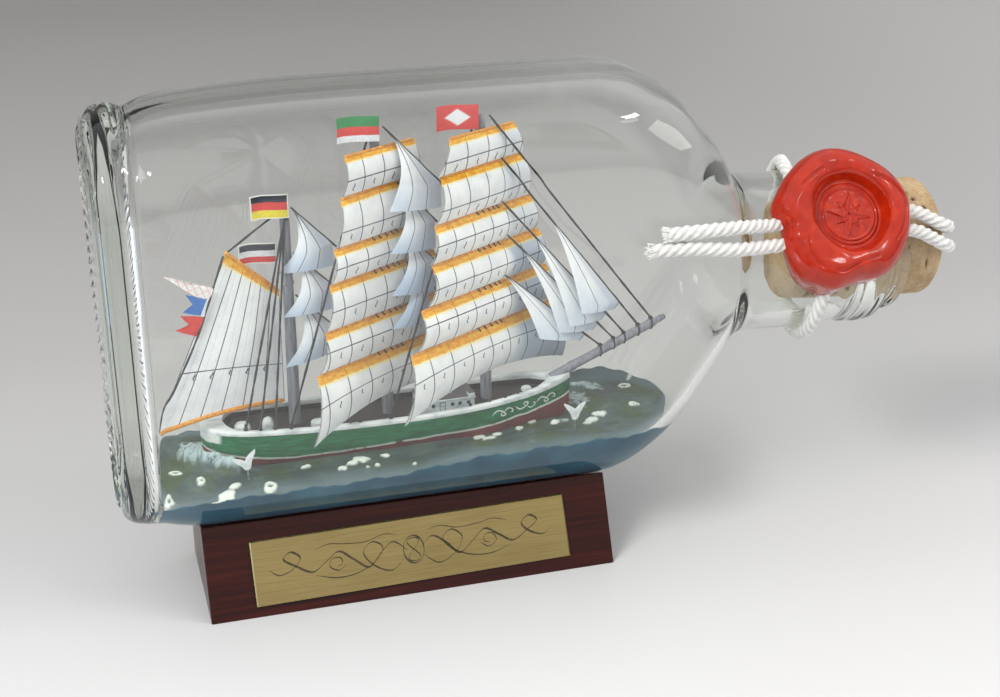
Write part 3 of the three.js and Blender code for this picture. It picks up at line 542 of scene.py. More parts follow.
finish_r = table([[78, 14.8], [81.5, 14.8], [84, 14.5], [86, 14.55], [87.6, 15.05], [90.8, 15.1], [91.9, 14.5], [93, 13.2], [93.8, 12.8], [94.4, 13.2], [94.8, 13.45], [95.6, 13.45], [96.0, 13.1], [96.25, 12.5], [96.35, 12.1]])
for x in np.linspace(78.6, 96.3, 78):
    r = float(finish_r(x))
    rr = ring(x, r, r, r)
    th = np.arctan2(rr[:, 2] - AZ, rr[:, 1] - MY)
    turn = (th % (2 * pi)) / (2 * pi)
    ridge = np.zeros(NB)
    for k in (0, 1):                          # a shallow one-and-a-half turn thread
        c = 84.6 + 2.4 * (turn + k)
        ends = smoothstep(0, 0.12, turn + k) * smoothstep(1.75, 1.6, turn + k)
        ridge += np.exp(-(((x - c) / 0.62) ** 2)) * ends
    d = rr - np.array([x, MY, AZ])
    rr += d / r * (0.42 * ridge)[:, None]
    outer.append(rr)
for a in np.linspace(0.3, pi / 2, 4):
    outer.append(ring(MOUTH, 12.0 - 0.6 * math.sin(a), 12.0 - 0.6 * math.sin(a), 12.0) - [0.0 + 0.12 * a / (pi / 2), 0, 0])
inner = []
for x in np.linspace(95.8, 66.5, 22):
    r = lerp(11.9, 11.2, float(smoothstep(86, 89, x)))
    inner.append(ring(x, r, r, r))
IN0 = BX + BASE


def in_ring(x):
    return body_ring(x, WALL)


for x in [*np.linspace(65.5, 36, 42), *np.linspace(33, -30, 20), *np.linspace(-31, IN0 + 4.4, 16)]:
    inner.append(in_ring(x))
for a in np.linspace(0, pi / 2, 9)[1:]:
    inset = WALL + 3.6 * (1 - math.cos(a))
    inner.append(ring(IN0 + 3.6 * (1 - math.sin(a)) + 0.2, float(half_w(IN0 + 3.6)) - inset, float(half_d(IN0 + 3.6)) - inset, 16 - inset, dz=float(sink(IN0 + 3.6))))
for inset, dx in [(8.2, 0.05), (11, -0.1), (14, 0.15), (17.4, 0.3)]:
    inner.append(ring(IN0 + dx, float(half_w(IN0 + 3.6)) - inset, float(half_d(IN0 + 3.6)) - inset, 16 - inset, dz=float(sink(IN0 + 3.6))))
inner = np.array(inner)
wave = fbm(inner.reshape(-1, 3), 17.0, 5, 2).reshape(inner.shape[:2])
mid = np.zeros_like(inner)
mid[..., 0], mid[..., 1], mid[..., 2] = inner[..., 0], MY, AZ
dirn = inner - mid
dirn /= np.maximum(np.linalg.norm(dirn, axis=2, keepdims=True), 1e-6)
fade = smoothstep(70, 60, inner[..., 0]) * smoothstep(IN0 + 3, IN0 + 12, inner[..., 0])
inner += dirn * (0.08 * wave * fade)[..., None]
allr = np.vstack([np.array(outer), inner])
F = rings_faces(len(allr), NB)

glass = Mat("flask_glass", (0.970, 0.977, 0.966), 0.0, Transmission_Weight=1.0, IOR=1.5)
va = glass.n("ShaderNodeVolumeAbsorption")
va.inputs["Color"].default_value = (0.60, 0.74, 0.58, 1)
va.inputs["Density"].default_value = 13.0
glass.t.links.new(va.outputs[0], glass.out.inputs["Volume"])
lp, tr, mx = glass.n("ShaderNodeLightPath"), glass.n("ShaderNodeBsdfTransparent"), glass.n("ShaderNodeMixShader")
tr.inputs[0].default_value = (0.93, 0.94, 0.93, 1)
both = glass.math("MAXIMUM", lp.outputs["Is Shadow Ray"], lp.outputs["Is Diffuse Ray"])
glass.put(mx.inputs[0], both)
glass.t.links.new(glass.b.outputs[0], mx.inputs[1])
glass.t.links.new(tr.outputs[0], mx.inputs[2])
glass.t.links.new(mx.outputs[0], glass.out.inputs["Surface"])
glass.bump(glass.noise(26, glass.obj(), 2), 0.5, 0.10)
bottle = mesh("flask", allr.reshape(-1, 3), F, glass, "bottle", replaces=["bottle_glass"])


# ------------------------------------------------------------------ stand and plate
def groove(y):
    d = np.maximum(np.abs(y - MY) - 2.3, 0)
    return AZ - 22.8 - np.sqrt(np.maximum(16.3**2 - d**2, 0)) - 0.0


gy = np.linspace(-5.95, 13.0, 40)
gz = np.minimum(groove(gy) - 0.0, 15.6)
front = [(-13.25 + 7.3 * t, 15.6 * t) for t in np.linspace(0, 1, 12)[:-1]]
profile = [(13.25, 0.0), (13.25, 7.5), (13.25, 15.4)] + list(zip(gy, gz))[::-1] + front[::-1]
profile = np.array(profile)
xs = [-37.5, -25, -12, 0, 12, 25, 37.5]
V = np.array([[[x, y, z] for y, z in profile] for x in xs])
stand_f = rings_faces(len(xs), len(profile))
wood = Mat("mahogany_lacquer", (0.03, 0.006, 0.004), 0.22, Coat_Weight=0.10, Coat_Roughness=0.06, Specular_IOR_Level=0.24)
o = wood.obj()
fib = wood.noise(0.9, wood.scale(o, 0.035, 1.0, 1.0), 6, 0.62, 0.4)
pores = wood.step(0.66, 0.74, wood.noise(0.35, wood.scale(o, 0.06, 1.3, 1.3), 3, 0.6))
broad = wood.noise(9, wood.scale(o, 0.12, 1, 1), 3, 0.5, 0.8)
c = wood.ramp(fib, [(0.30, srgb(30, 8, 5)), (0.52, srgb(52, 15, 9)), (0.72, srgb(72, 24, 14))])
c = wood.mix(wood.math("MULTIPLY", broad, 0.55), c, srgb(38, 14, 13))
c = wood.mix(wood.math("MULTIPLY", pores, 0.6), c, srgb(16, 5, 4))
wood.color(c)
wood.rough(wood.math("ADD", 0.20, wood.math("MULTIPLY", wood.noise(14, o, 3), 0.16)))
wood.bump(wood.math("SUBTRACT", wood.math("MULTIPLY", fib, 0.5), pores), 0.35, 0.03)
stand = mesh("stand", V.reshape(-1, 3), stand_f, wood, "stand", smooth=True, replaces=["stand_block"])
mod(stand, "BEVEL", width=0.55 * MM, segments=4, limit_method="ANGLE", angle_limit=math.radians(38))
stand.data.set_sharp_from_angle(angle=math.radians(60))

SL = math.hypot(7.3, 15.6)
fd, fo = np.array([0, 7.3, 15.6]) / SL, np.array([0, -15.6, 7.3]) / SL


def on_front(u, v, w):
    """u along X, v up the slanted face, w out of it."""
    u, v, w = np.broadcast_arrays(np.asarray(u, float), v, w)
    return np.stack([u, np.full(u.shape, -13.25), np.zeros(u.shape)], -1) + v[..., None] * fd + w[..., None] * fo


PX0, PL, PU, PH = -29.4, 58.4, 2.3, 11.6
turn_a = 0.7 * pi / 180
pmu, pmv = PX0 + PL / 2, PU + PH / 2


def plate_uv(u, v):
    u, v = np.asarray(u, float) - pmu, np.asarray(v, float) - pmv
    return pmu + u * math.cos(turn_a) - v * math.sin(turn_a), pmv + u * math.sin(turn_a) + v * math.cos(turn_a)


brass = Mat("brushed_brass", srgb(176, 152, 96), 0.34, 1.0, Anisotropic=0.6)
o = brass.obj()
lines = brass.noise(0.12, brass.scale(o, 0.012, 1, 1), 4, 0.7)
lines2 = brass.noise(0.5, brass.scale(o, 0.02, 1, 1), 3, 0.6)
cloud = brass.noise(16, o, 3)
scr = brass.step(0.93, 0.97, brass.noise(0.8, brass.scale(o, 0.25, 1.4, 0.7), 2, 0.5, 1.2))
c = brass.ramp(lines, [(0.2, srgb(156, 134, 84)), (0.5, srgb(194, 172, 116)), (0.85, srgb(220, 200, 146))])
c = brass.mix(brass.math("MULTIPLY", cloud, 0.5), c, srgb(152, 132, 84))
brass.color(c)
brass.rough(brass.math("ADD", 0.24, brass.math("MULTIPLY", lines2, 0.24)))
brass.bump(brass.math("ADD", lines, brass.math("MULTIPLY", scr, -0.6)), 0.35, 0.02)
pu, pv = [], []
chamfer = [(0, 0.12), (0, 0.42), (0.22, 0.62)]
rings = []
for ins, w in chamfer:
    cu = np.array([PX0 + ins, PX0 + PL - ins, PX0 + PL - ins, PX0 + ins])
    cv = np.array([PU + ins, PU + ins, PU + PH - ins, PU + PH - ins])
    cu, cv = plate_uv(cu, cv)
    rings.append(on_front(cu, cv, w))
mesh("name_plate", np.vstack(rings), rings_faces(3, 4), brass, "stand", smooth=False, replaces=["brass_plate"])

# the flourish: thick and thin strokes as from a broad pen, no letters
ink = Mat("engraved_line", srgb(70, 62, 46), 0.55, 0.4)
ink.color(ink.ramp(ink.noise(0.5, ink.obj(), 3), [(0.3, srgb(52, 46, 36)), (0.7, srgb(96, 84, 58))]))


def pen(points, wmin, wmax, angle=0.95, taper=0.12, n=160):
    """A calligraphic stroke in plate (u, v): verts, faces of a flat ribbon."""
    p = spline([(x, y, 0) for x, y in points], n=n)[:, :2]
    t = np.gradient(p, axis=0)
    t /= np.maximum(np.linalg.norm(t, axis=1, keepdims=True), 1e-9)
    nrm = np.stack([-t[:, 1], t[:, 0]], 1)
    k = np.linspace(0, 1, n)
    w = lerp(wmin, wmax, np.abs(nrm @ [math.cos(angle), math.sin(angle)]) ** 2) * np.clip(np.minimum(k, 1 - k) / taper, 0.12, 1) ** 0.6
    a, b = p + nrm * w[:, None] / 2, p - nrm * w[:, None] / 2
    pts = []
    for q, h in ((a, 0.632), (b, 0.632), (b, 0.60), (a, 0.60)):
        uu, vv = plate_uv(q[:, 0], q[:, 1])
        pts.append(on_front(uu, vv, h))
    return np.stack(pts, 1).reshape(-1, 3), rings_faces(n, 4)


strokes = []
cx, cy = pmu, pmv
for s in (-1, 1):
    strokes.append(pen([(cx + s * a, cy + b) for a, b in [(1.2, 0.0), (3.6, 1.9), (6.2, 0.2), (8.4, -1.9), (11.2, 0.0), (13.6, 1.7), (16.2, 0.2), (18.6, -1.2), (21.4, 0.2), (23.6, 1.9), (22.2, 2.9), (20.6, 1.7), (21.8, 0.1), (24.6, -0.9), (26.4, 0.3)]], 0.10, 0.42))
    strokes.append(pen([(cx + s * a, cy + b) for a, b in [(1.6, -1.1), (4.4, -3.1), (7.6, -1.7), (9.2, 0.9), (7.4, 2.5), (5.6, 1.3), (6.8, -0.7), (10.2, -2.5), (14.2, -2.9), (18.2, -1.9)]], 0.08, 0.30))
    strokes.append(pen([(cx + s * a, cy + b) for a, b in [(2.6, 3.1), (5.2, 3.5), (8.6, 2.7), (12.2, 2.9), (15.4, 3.3), (18.0, 2.6)]], 0.06, 0.20))
    strokes.append(pen([(cx + s * a, cy + b) for a, b in [(12.4, -0.6), (13.9, -1.6), (15.5, -0.7), (14.9, 0.7), (13.4, 0.5), (13.2, -0.5), (14.3, -0.9)]], 0.07, 0.24))
strokes.append(pen([(cx + 1.9 * math.cos(a), cy + 2.5 * math.sin(a)) for a in np.linspace(0, 2 * pi, 17)], 0.08, 0.34, taper=0.01))
strokes.append(pen([(cx + 1.1 * math.sin(2 * a), cy + 2.1 * math.cos(a)) for a in np.linspace(0, 2 * pi, 25)], 0.07, 0.26, taper=0.01))
v, f = join(strokes)
mesh("plate_flourish", v, f, ink, "stand", smooth=False)


# ------------------------------------------------------------------ sea
def inner_bottom(x, y):
    """Height of the flask's inner wall under (x, y)."""
    x = np.asarray(x, float)
    inset = WALL + 3.6 * (1 - np.sqrt(np.clip(1 - ((IN0 + 3.8 - x) / 3.6) ** 2, 0, 1))) * (x < IN0 + 3.8)
    t = np.clip((x - 50) / 14, 0, 1)
    r = lerp(16 - inset, 11.9, t)
    bl = smoothstep(60, 66, x)
    hw, hd = lerp(half_w(x) - inset, 11.9, bl), lerp(half_d(x) - inset, 11.9, bl)
    r = np.minimum(r, np.minimum(hw, hd))
    d = np.maximum(np.abs(np.asarray(y) - MY) - (hd - r), 0)
    return AZ + sink(x) - (hw - r) - np.sqrt(np.maximum(r * r - d * d, 0)), hd


FOAM = [(-40.4, -0.3, 1.0, 1.1, 1), (-36.6, -4.3, 1.0, 1.1, 1), (-42.4, -7.5, 1.1, 1.2, 1), (-36.7, -12.5, 1.9, 1.5, 0), (-34.7, -11.2, 1.9, 1.4, 0), (-32.7, -9.4, 1.5, 1.1, 0), (-31.1, -7.6, 1.2, 0.9, 0), (-25.4, -9.2, 1.1, 1.2, 1), (-18.1, -4.6, 1.2, 0.5, 0),
        (-8.7, -5.4, 1.7, 1.1, 0), (-10.2, -6.4, 1.5, 0.8, 0), (-12.4, -7.4, 0.9, 0.5, 0), (-3.9, -4.8, 1.0, 0.6, 0), (-6.0, -7.5, 0.6, 0.4, 0), (0.5, -8.8, 0.45, 0.4, 0), (-7.8, -7.9, 0.4, 0.3, 0),
        (14.2, -2.6, 1.4, 0.9, 0), (15.8, -3.6, 1.6, 1.0, 0), (17.6, -2.2, 0.9, 0.6, 0), (22.0, -1.8, 0.9, 0.7, 1), (25.2, 0.1, 1.0, 0.5, 0), (29.1, -1.1, 0.9, 0.8, 0),
        (47.2, 11.1, 1.4, 0.9, 1), (45.6, 1.1, 1.0, 0.9, 1), (38.3, -0.4, 1.5, 1.1, 0), (36.2, -2.0, 1.3, 1.0, 0), (34.9, -3.0, 1.0, 0.7, 0), (49.3, 13.2, 0.6, 0.4, 0), (30.0, 14.2, 0.8, 0.5, 0), (10.0, 15.0, 1.2, 0.6, 0), (-15.0, 14.4, 1.3, 0.7, 0)]
PALE = [(-36.3, 8.6, 3.0, 2.4), (-33.4, 5.6, 3.2, 1.5), (-30.6, 3.4, 2.2, 0.9), (36.6, 8.0, 2.2, 3.2), (39.4, 14.0, 2.6, 2.0), (41.6, 12.0, 1.8, 1.6), (34.6, 2.6, 2.0, 1.0), (30.6, -0.6, 1.8, 0.8)]

nx, ny = 420, 150
sx = np.linspace(IN0 + 0.30, 52.6, nx)
base_z = 24.45 + 0.012 * sx - 0.9 * smoothstep(-34, -42, sx) + 1.5 * smoothstep(-8, 14, sx) + 0.25 * np.sin(0.6 * sx) + 0.15 * np.sin(1.7 * sx + 1)
Yc = np.zeros(nx)
for i, x in enumerate(sx):
    yy = np.linspace(0, 18, 400)
    zb, hd = inner_bottom(np.full(400, x), MY + yy)
    ok = (zb < base_z[i]) & (yy < hd)
    Yc[i] = yy[ok].max() if ok.any() else 0.0
keep = Yc > 0.35
sx, base_z, Yc = sx[keep], base_z[keep], Yc[keep]
nx = len(sx)
jj = np.linspace(-1, 1, ny)
edge = np.sin(jj * pi / 2)
X = np.repeat(sx[:, None], ny, 1)
Y = MY + edge[None, :] * Yc[:, None]
P = np.stack([X, Y, np.zeros_like(X)], -1)
chop = fbm(P * [1, 1, 0], 3.2, 11, 4) * 0.26 + fbm(P * [0.6, 1, 0], 9.0, 31, 3) * 0.30
Z = 24.45 + 0.012 * X + 1.3 * smoothstep(-8, 14, X) * smoothstep(-6.5, -12.5, Y - MY) - 0.9 * smoothstep(-34, -42, X) * smoothstep(-6, -13, Y - MY) + 0.45 * np.exp(-(((Y - MY) / 8) ** 2)) + 0.26 * np.sin(0.33 * X + 0.21 * Y) + 0.18 * np.sin(0.17 * X - 0.45 * Y + 1.3) + chop
brush = np.abs(fbm(P * [0.35, 1, 0], 1.2, 51, 3))
Z += 0.16 * (brush - 0.3)
foam = np.zeros_like(X)
jit = fbm(P * [1, 1, 0], 0.9, 77, 3)
for (fx_, fy_, ra, rb, hole) in FOAM:
    d = np.hypot((X - fx_) / ra, (Y - fy_) / rb) + 0.55 * jit
    m = smoothstep(1.0, 0.8, d)
    if hole:
        m = m * smoothstep(0.22, 0.42, np.hypot((X - fx_ - 0.1) / ra, (Y - fy_ + 0.1) / rb) + 0.2 * jit)
    foam = np.maximum(foam, m)
pale = np.zeros_like(X)
for (fx_, fy_, ra, rb) in PALE:
    d = np.hypot((X - fx_) / ra, (Y - fy_) / rb) + 0.7 * fbm(P * [1, 1, 0], 0.8, 99, 3)
    pale = np.maximum(pale, smoothstep(1.05, 0.6, d))
wake = np.zeros_like(X)
wk = np.array([(-39.4, 0.8), (-37.6, -1.2), (-35.6, -3.0), (-33.2, -4.9), (-31.2, -6.0), (-29.4, -6.9)])
for (ax_, ay_), (bx_, by_) in zip(wk[:-1], wk[1:]):
    tq = np.clip(((X - ax_) * (bx_ - ax_) + (Y - MY - ay_) * (by_ - ay_)) / ((bx_ - ax_) ** 2 + (by_ - ay_) ** 2), 0, 1)
    wake = np.maximum(wake, np.exp(-((np.hypot(X - ax_ - tq * (bx_ - ax_), Y - MY - ay_ - tq * (by_ - ay_)) / 1.0) ** 2)))
wake *= smoothstep(-41, -38.5, X) * smoothstep(-28.6, -30.4, X)
pale = np.maximum(pale, smoothstep(0.25, 0.7, wake + 0.3 * fbm(P * [1, 1, 0], 0.7, 199, 3)))
Z += wake * (2.6 + 0.8 * fbm(P * [1, 1, 0], 1.1, 211, 3))
Z += 0.42 * foam * (0.8 + 0.5 * jit) + 0.30 * pale
rimm = smoothstep(0.0, 1.1, (1 - np.abs(edge))[None, :] * Yc[:, None])
zb, _ = inner_bottom(X, Y)
Z = lerp(zb, np.maximum(Z, zb + 0.02), rimm ** 0.5)
endf = smoothstep(0, 0.8, X - sx[0]) ** 0.5
zb -= 0.28
top = np.stack([X, Y, Z], -1)
bot = np.stack([X - 0.0, Y, zb], -1)
n1 = nx * ny
F = []
for i in range(nx - 1):
    for j in range(ny - 1):
        q = i * ny + j
        F.append((q, q + ny, q + ny + 1, q + 1))
        F.append((n1 + q, n1 + q + 1, n1 + q + ny + 1, n1 + q + ny))
for i in range(nx - 1):
    q = i * ny
    F.append((q, n1 + q, n1 + q + ny, q + ny))
    q = i * ny + ny - 1
    F.append((q, q + ny, n1 + q + ny, n1 + q))
for j in range(ny - 1):
    F.append((j, j + 1, n1 + j + 1, n1 + j))
    q = (nx - 1) * ny + j
    F.append((q, n1 + q, n1 + q + 1, q + 1))
deep = np.concatenate([np.zeros(n1), np.ones(n1)])
nearedge = np.concatenate([np.clip((1 - np.abs(edge))[None, :] * Yc[:, None], 0, 9).ravel()] * 2)
sea = Mat("painted_sea", (0.1, 0.2, 0.25), 0.42, Specular_IOR_Level=0.5)
o = sea.obj()
a_foam, a_pale, a_deep, a_edge = sea.attr("foam"), sea.attr("pale"), sea.attr("deep"), sea.attr("rim")
x_, y_, z_ = sea.xyz(o)
n1_ = sea.noise(4.2, sea.scale(o, 0.7, 1, 0.5), 6, 0.62, 0.6)
n2_ = sea.noise(1.0, sea.scale(o, 0.8, 1, 0.5), 5, 0.65, 0.8)
n3_ = sea.noise(7.5, sea.scale(o, 1, 1, 0.5), 4, 0.6)
c = sea.ramp(n1_, [(0.30, srgb(32, 50, 48)), (0.45, srgb(50, 70, 68)), (0.56, srgb(68, 87, 84)), (0.70, srgb(94, 111, 104))])
c = sea.mix(sea.math("MULTIPLY", sea.step(0.47, 0.60, n3_), 0.85), c, srgb(56, 74, 36))
c = sea.mix(sea.math("MULTIPLY", sea.step(0.54, 0.70, n2_), 0.55), c, srgb(66, 57, 44))
c = sea.mix(sea.math("MULTIPLY", sea.step(0.36, 0.24, n2_), 0.5), c, srgb(102, 120, 118))
near = sea.step(5.2, 1.6, sea.math("ADD", a_edge, sea.math("MULTIPLY", n1_, 2.4)))
c = sea.mix(sea.math("MULTIPLY", near, 0.85), c, srgb(84, 106, 113))
c = sea.mix(sea.math("MULTIPLY", a_pale, sea.step(0.30, 0.55, n2_)), c, srgb(176, 196, 200))
c = sea.mix(a_foam, c, srgb(226, 232, 226))
c = sea.mix(a_deep, c, sea.ramp(sea.noise(9, o, 4), [(0.35, srgb(30, 78, 100)), (0.6, srgb(46, 98, 120)), (0.8, srgb(68, 118, 134))]))
sea.color(c)
sea.rough(sea.math("ADD", 0.34, sea.math("MULTIPLY", n2_, 0.25)))
sea.bump(sea.math("ADD", sea.noise(0.45, sea.scale(o, 0.6, 1, 1), 4, 0.6), sea.math("MULTIPLY", a_foam, 0.5)), 0.45, 0.10)
zero = np.zeros(n1)
mesh("sea", np.vstack([top.reshape(-1, 3), bot.reshape(-1, 3)]), F, sea, "bottle", replaces=["sea_putty"],
     attrs={"foam": np.concatenate([foam.ravel(), zero]), "pale": np.concatenate([pale.ravel(), zero]), "deep": deep, "rim": nearedge})


def sea_z(x, y):
    i = np.clip(np.searchsorted(sx, x), 0, nx - 1)
    j = int(np.argmin(np.abs(Y[i] - y)))
    return float(Z[i, j])


# ------------------------------------------------------------------ hull
hull_beam = table([[-35.4, 0.6], [-34.6, 2.6], [-32.5, 4.4], [-28, 5.7], [-18, 6.5], [0, 6.7], [14, 6.3], [23, 4.9], [29, 2.9], [32.4, 1.1], [33.4, 0.35]])


def sheer(x):
    return 30.05 + 1.0 * np.clip(-x / 35, 0, 1) ** 2 + 1.9 * np.clip(x / 33, 0, 1) ** 2


def deck_z(x):
    return sheer(x) - 1.35


def cap_low(x):
    return sheer(x) + 0.06


def cap_top(x):
    return sheer(x) + 0.91 + 0.35 * np.clip(x / 33, 0, 1) ** 2


hx = np.concatenate([[-35.4, -35.25, -35.0, -34.7, -34.3], np.linspace(-33.8, 29.5, 110), [30.3, 31.0, 31.6, 32.1, 32.5, 32.9, 33.2, 33.4]])
side_f = []
tt = np.concatenate([np.linspace(0, 0.85, 22), [0.9, 0.94, 0.97, 0.99]])
hull_v, ha, hs = [], [], []
for x in hx:
    b = float(hull_beam(x))
    zt = float(sheer(x))
    low = lerp(27.6, 22.2, math.sqrt(min(max((x + 35.4) / 8, 0), 1))) + 3.2 * min(max((x - 26) / 7.4, 0), 1) ** 2
    fm_ = 0.84 - 0.18 * min(max((x - 14) / 18, 0), 1)
    prof_f = table([[0, 1], [0.35, 0.97], [0.68, fm_], [0.92, 0.5], [1, 0.02]])
    z = lerp(zt, low, tt)
    y = b * prof_f(tt)
    ringp = [(x, MY - yy, zz) for yy, zz in zip(y, z)] + [(x, MY, low)] + [(x, MY + yy, zz) for yy, zz in zip(y[::-1], z[::-1])]
    hull_v.append(ringp)
hull_v = np.array(hull_v)
n_h = hull_v.shape[1]
stripe_z = table([[-35.4, 27.9], [-31, 26.9], [-27.1, 26.29], [-20.6, 25.6], [-13.4, 25.61], [-0.6, 26.2], [14.6, 26.75], [22.6, 27.8], [31.0, 28.80], [33.4, 29.2]])
flatv = hull_v.reshape(-1, 3)
band = flatv[:, 2] - stripe_z(flatv[:, 0])
# the well under the deck
ring_rows = []
Fh = rings_faces(len(hx), n_h, caps=(True, True))
Fh = [f for f in Fh if not (len(f) == 4 and {f[0] % n_h, f[1] % n_h} == {0, n_h - 1})]
well = []
i0, i1 = int(np.searchsorted(hx, -31.6)), int(np.searchsorted(hx, 29.4)) - 1
base = len(flatv)
# inner wall ring pairs: (outer edge, inner edge top, inner edge deck) each side
inner_pts = []
for i in range(i0, i1 + 1):
    x = hx[i]
    w = max(0.25, (float(hull_beam(x)) - 1.0) * min((x + 31.6) / 2.2, (29.4 - x) / 3, 1) ** 0.5 if -31.6 < x < 29.4 else 0.25)
    w = min(w, float(hull_beam(x)) - 0.9)
    inner_pts += [(x, MY - w, float(sheer(x))), (x, MY - w, float(deck_z(x))), (x, MY + w, float(deck_z(x))), (x, MY + w, float(sheer(x)))]
inner_pts = np.array(inner_pts)


def rail_strip(i):
    a, b = i * n_h, (i + 1) * n_h
    f = []
    if i < i0 or i >= i1:
        if i == i0 - 1:
            p = base
            f += [(a, b, p, p + 3, b + n_h - 1, a + n_h - 1)]
        elif i == i1:
            p = base + 4 * (i1 - i0)
            f += [(a, b, b + n_h - 1, a + n_h - 1, p + 3, p)]
        else:
            f.append((a, b, b + n_h - 1, a + n_h - 1))
    else:
        p = base + 4 * (i - i0)
        q = p + 4
        f += [(a, b, q, p), (p, q, q + 1, p + 1), (p + 1, q + 1, q + 2, p + 2), (p + 2, q + 2, q + 3, p + 3), (a + n_h - 1, p + 3, q + 3, b + n_h - 1)]
    return f


for i in range(len(hx) - 1):
    Fh += [tuple(reversed(q)) for q in rail_strip(i)]
Fh.append((base, base + 1, base + 2, base + 3))
e_ = base + 4 * (i1 - i0)
Fh.append((e_, e_ + 3, e_ + 2, e_ + 1))
allv = np.vstack([flatv, inner_pts])
paint = Mat("hull_paint", (0.05, 0.15, 0.1), 0.42, Specular_IOR_Level=0.25)
o = paint.obj()
d = paint.attr("band")
x_, y_, z_ = paint.xyz(o)
wob = paint.math("MULTIPLY", paint.math("SUBTRACT", paint.noise(1.8, paint.scale(o, 0.5, 1, 0.5), 3), 0.5), 0.55)
d = paint.math("ADD", d, wob)
stroke = paint.noise(0.5, paint.scale(o, 0.14, 1, 1), 4, 0.65)
patch_ = paint.noise(2.6, paint.scale(o, 0.6, 1, 1), 4, 0.6)
green = paint.ramp(stroke, [(0.28, srgb(4, 60, 38)), (0.5, srgb(6, 104, 60)), (0.72, srgb(30, 132, 86))])
green = paint.mix(paint.math("MULTIPLY", paint.step(0.55, 0.7, patch_), 0.45), green, srgb(64, 140, 102))
green = paint.mix(paint.math("MULTIPLY", paint.step(0.42, 0.30, patch_), 0.6), green, srgb(10, 48, 44))
red = paint.ramp(stroke, [(0.3, srgb(92, 22, 26)), (0.55, srgb(132, 34, 38)), (0.75, srgb(158, 58, 58))])
c = paint.mix(paint.step(-0.05, 0.05, d), red, green)
line = paint.math("MULTIPLY", paint.step(0.30, 0.16, paint.math("ABSOLUTE", d)), paint.step(0.30, 0.42, paint.noise(2.2, o, 2)))
c = paint.mix(line, c, srgb(214, 222, 214))
stern_w = paint.math("MULTIPLY", paint.step(-32.0, -33.0, paint.math("ADD", x_, paint.math("MULTIPLY", wob, 0.8))), paint.step(29.0, 29.5, paint.math("ADD", z_, wob)))
c = paint.mix(stern_w, c, paint.ramp(stroke, [(0.3, srgb(196, 204, 206)), (0.7, srgb(236, 238, 234))]))
c = paint.mix(paint.attr("inboard"), c, paint.ramp(stroke, [(0.3, srgb(26, 18, 17)), (0.7, srgb(46, 35, 32))]))
paint.color(c)
paint.rough(paint.math("ADD", 0.34, paint.math("MULTIPLY", stroke, 0.25)))
paint.bump(paint.math("ADD", stroke, paint.math("MULTIPLY", patch_, 0.6)), 0.5, 0.06)
hull = mesh("hull", allv, Fh, paint, "bottle", replaces=["hull"], attrs={"band": np.concatenate([band, np.full(len(inner_pts), 2.0)]), "inboard": np.concatenate([np.zeros(len(band)), np.ones(len(inner_pts))])}, sharp=50)

# bulwark cap: a rounded white strip along both sides, filled over the poop and the forecastle
white = Mat("rail_white", srgb(224, 228, 230), 0.4)
o = white.obj()
k = white.noise(1.2, white.scale(o, 0.4, 1, 1), 4, 0.6)
white.color(white.ramp(k, [(0.3, srgb(176, 186, 192)), (0.5, srgb(222, 227, 229)), (0.75, srgb(240, 241, 238))]))
white.bump(white.noise(0.5, white.scale(o, 0.5, 1, 1), 4, 0.6), 0.6, 0.06)


def cap_half_inner(x):
    if x <= -31.55 or x >= 29.35:
        return 0.0
    return max(0.0, (float(hull_beam(x)) - 1.0) * min((x + 31.6) / 2.2, (29.4 - x) / 3, 1) ** 0.5)


cx_ = np.concatenate([[-35.4, -35.3, -35.05, -34.7, -34.2, -33.4, -32.4], np.linspace(-31.6, 29.4, 100), [30.2, 31, 31.8, 32.4, 32.9, 33.25, 33.4]])
cap_parts = []
for s in (-1, 1):
    rows = []
    for x in cx_:
        w0, w1 = cap_half_inner(x), float(hull_beam(x)) + 0.12
        w0 = min(w0, w1 - 0.12) if w0 > 0 else -0.03
        zl, zt = float(cap_low(x)), float(cap_top(x))
        rd = 0.22
        rows.append([(x, MY + s * yy, zz) for yy, zz in [(w0, zl), (w1, zl), (w1 + 0.04, zl + 0.3), (w1 + 0.02, zt - rd), (w1 - 0.08, zt - 0.06), (w1 - rd - 0.05, zt), (lerp(w0, w1, 0.4), zt + 0.02), (w0 + (0.2 if w0 > 0 else 0), zt - (0.03 if w0 > 0 else -0.02)), (w0, zt - (0.2 if w0 > 0 else -0.02))]])
    rows = np.array(rows)
    wob = fbm(rows.reshape(-1, 3), 2.4, 8, 3).reshape(rows.shape[:2])
    rows[..., 2] += 0.05 * wob
    cap_parts.append((rows.reshape(-1, 3), rings_faces(len(cx_), 9)))
v, f = join(cap_parts)
mesh("bulwark_cap", v, f, white, "bottle", replaces=["bulwark_cap"], sharp=50)

